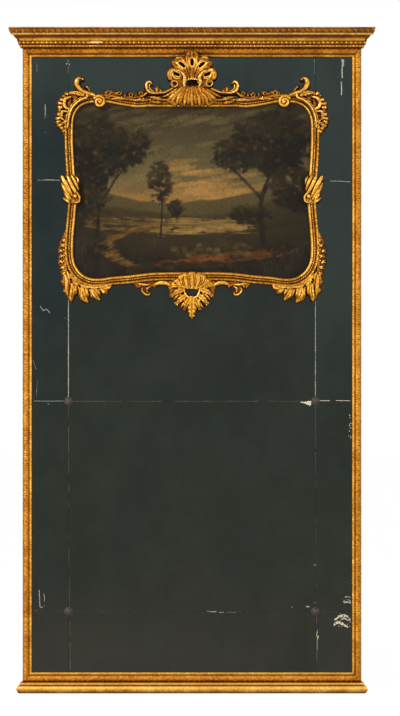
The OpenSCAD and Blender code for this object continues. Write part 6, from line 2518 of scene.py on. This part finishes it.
@dataclass(frozen=True)
class Bosses:
    """The four turned bosses over the plates' corners.

    Args:
        radius: Radius of a boss.
        height: How far it stands out from the glass.
        levels: Heights of the joints that they cover.
    """

    radius: float = 14.5
    height: float = 10.0
    levels: tuple[float, float] = (285.0, 1022.0)

    def build(self) -> None:
        """Makes the four bosses."""
        r, h = self.radius, self.height
        rows = [(0.0, 0.05), (r - 0.4, 0.05), (r, 0.6), (r, 2.2), (r - 0.9, 3.0), (r - 2.4, 3.1), (r - 2.9, 3.9)]
        rows += [(r - 3.5, 4.0), (r - 3.6, 4.8)]
        rows += [((r - 4.2) * math.cos(a), 4.9 + (h - 5.0) * math.sin(a)) for a in np.linspace(0.05, 1.5, 10)]
        rows += [(0.0, h - 0.1)]
        around = 44
        turns = np.linspace(0, 2 * math.pi, around, endpoint=False)
        points = np.array([[(ri * math.cos(a), -T_FACE - ti, ri * math.sin(a)) for a in turns] for ri, ti in rows])
        one = Solid(points.reshape(-1, 3), tube(len(rows), around)[2]).outward()
        parts = [one.turned(np.eye(3), (s * X_JOINT, 0, z)) for s in (-1, 1) for z in self.levels]
        Solid.joined(parts).piece("turned_bosses", BOSS_POLISH, "boss_wood", ("plate_bosses",))


# Stage, light and camera


class Stage:
    """The floor, the lamps, the world and the camera."""

    ROOM_LIGHT = 0.42
    FLOOR_GLOW = 1.095
    FLOOR_GLOW_SHARE = 0.86
    FLOOR_REACH = 30
    CAMERA_AT = (0.028, -12.0, 1.1725)
    VIEW_HEIGHT = 2.506
    # Name, place, aim, size, power and colour of each area lamp.
    LAMPS = (
        ("key", (-2.3, -3.0, 3.7), (0, 0, 1.5), 0.9, 95.0, "#fff6e8"),
        ("fill", (2.6, -3.4, 1.9), (0, 0, 1.2), 1.6, 38.0, "#f2f6ff"),
        ("low", (-1.9, -2.6, 0.5), (0, 0, 0.8), 0.9, 26.0, "#fff6e8"),
    )

    @staticmethod
    def seen(g: Graph) -> bpy.types.Node:
        """A factor that is 1 for rays that see the background directly, in a mirror or through glass.

        Args:
            g: The nodes that it joins.

        Returns:
            The node with the factor.
        """
        path = g.add("ShaderNodeLightPath").outputs
        direct = g.add(MATH, [path["Is Camera Ray"], path["Is Glossy Ray"]], operation="MAXIMUM")
        return g.add(MATH, [direct, path["Is Transmission Ray"]], operation="MAXIMUM")

    def world(self) -> None:
        """White where it is seen, and a plain level where it lights."""
        world = bpy.data.worlds.new("white room")
        bpy.context.scene.world = world
        world.use_nodes = True
        world.node_tree.nodes.clear()
        g = Graph(world.node_tree)
        strength = g.add(SPAN, [self.seen(g), 0.0, 1.0, self.ROOM_LIGHT, 1.0])
        back = g.add("ShaderNodeBackground", {"Color": (1, 1, 1, 1), "Strength": strength})
        g.add("ShaderNodeOutputWorld", {"Surface": back})

    def floor(self) -> None:
        """A pale floor that keeps the object's shadow."""
        far = self.FLOOR_REACH
        mesh = bpy.data.meshes.new("floor")
        mesh.from_pydata([(-far, -far, 0), (far, -far, 0), (far, far, 0), (-far, far, 0)], [], [(0, 1, 2, 3)])
        floor = placed("floor", mesh)
        material = bpy.data.materials.new("pale floor")
        material.use_nodes = True
        material.node_tree.nodes.clear()
        g = Graph(material.node_tree)
        share = g.add(MATH, [self.seen(g), self.FLOOR_GLOW_SHARE], operation="MULTIPLY")
        plain = g.add("ShaderNodeBsdfDiffuse", {"Color": linear("#f4f4f2")})
        glow = g.add("ShaderNodeEmission", {"Strength": self.FLOOR_GLOW})
        g.add("ShaderNodeOutputMaterial", {"Surface": g.add("ShaderNodeMixShader", [share, plain, glow])})
        mesh.materials.append(material)

    def camera(self) -> None:
        """A long lens straight in front, so that the view is nearly without perspective."""
        lens = bpy.data.cameras.new("camera")
        lens.sensor_fit, lens.sensor_height = "VERTICAL", 24.0
        lens.lens = lens.sensor_height * (-self.CAMERA_AT[1] - 0.05) / self.VIEW_HEIGHT
        lens.clip_end = 200
        camera = placed("camera", lens)
        camera.location = self.CAMERA_AT
        camera.rotation_euler = (math.radians(90), 0, 0)
        bpy.context.scene.camera = camera

    def build(self) -> None:
        """Sets everything up, the camera first."""
        bpy.context.scene.view_settings.view_transform = "Standard"
        self.camera()
        self.world()
        self.floor()
        for name, at, aim, size, power, code in self.LAMPS:
            light = bpy.data.lights.new(name, "AREA")
            light.size, light.energy, light.color = size, power, linear(code)[:3]
            lamp = placed(name, light)
            lamp.location = at
            lamp.rotation_euler = (Vector(aim) - Vector(at)).to_track_quat("-Z", "Y").to_euler()


def dress_frame(nodes: dict[str, bpy.types.Object]) -> None:
    """Gives the CAD nodes that stay their finishes.

    Args:
        nodes: The frame's nodes by name.
    """
    upright = ("stile_left", "stile_right", "muntin_left", "muntin_right", "side_backboards")
    level = ("top_rail", "bottom_rail", "cross_rails", "cornice_cover_board", "stretcher_bars", "glazing_slips")
    old_up = ("upper_backboard", "lower_backboards", "access_board")
    old_level = ("spacer_blocks", "stretcher_keys", "turn_button_a", "turn_button_b", "turn_button_c", "turn_button_d")
    groups = ((upright, PINE_UP), (level, PINE_ACROSS), (old_up, OLD_UP), (old_level, OLD_ACROSS))
    chosen = {name: finish for names, finish in groups for name in names}
    chosen |= {"keyhole_plates": BRASS, "short_screws": IRON, "long_screws": IRON, "canvas_tacks": IRON}
    for name, made in nodes.items():
        finish = MIRROR if name.startswith("plate_") and name != "plate_bosses" else chosen.get(name)
        if finish is None or made.hide_render:
            continue
        for slot in made.material_slots:
            slot.material = finish.material()


def main() -> None:
    """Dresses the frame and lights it."""
    logging.basicConfig(level=logging.INFO, format="%(name)s: %(message)s")
    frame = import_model()
    Stage().build()
    repeats = Repeats()
    Shell("carved_shell", ("shell_crest",), finish=SHELL_GOLD, slot="burnished_gilding", seed=2, pitch=1.3).build()
    Skirt("carved_skirt", ("acanthus_skirt",), finish=SHELL_GOLD, slot="burnished_gilding", seed=3).build()
    Pendant("carved_pendant", ("pendant",), finish=BRIGHT_GOLD, slot="burnished_gilding", seed=4).build()
    TopCorner("carved_corner_left", ("top_corner_left",), Side.LEFT, DULL_GOLD, seed=5).build()
    TopCorner("carved_corner_right", ("top_corner_right",), Side.RIGHT, DULL_GOLD, seed=6).build()
    Garland("carved_garlands", ("crest_garlands",), Side.BOTH, DULL_GOLD, seed=7).build()
    Clasp("carved_clasps", ("side_clasps",), Side.BOTH, seed=8).build()
    Trail("carved_trails", ("side_trails",), Side.BOTH, DULL_GOLD, seed=9).build()
    spray = {"finish": BRIGHT_GOLD, "slot": "burnished_gilding"}
    Spray("carved_spray_left", ("corner_spray_left",), Side.LEFT, seed=10, **spray).build()
    Spray("carved_spray_right", ("corner_spray_right",), Side.RIGHT, seed=11, **spray).build()
    Volutes().build()
    Cartouche().build(repeats)
    Border().build(repeats)
    Cornice("cornice", Z_BODY_TOP, cornice_section(), CORNICE_GOLD, "gilding").build(repeats)
    Base("base", 0.0, base_section(), BASE_GOLD, "burnished_gilding").build(repeats)
    Canvas().build()
    LossesAndEdgeHighlights().build()
    Bosses().build()
    dress_frame(frame["nodes"])


if __name__ == "__main__":
    main()
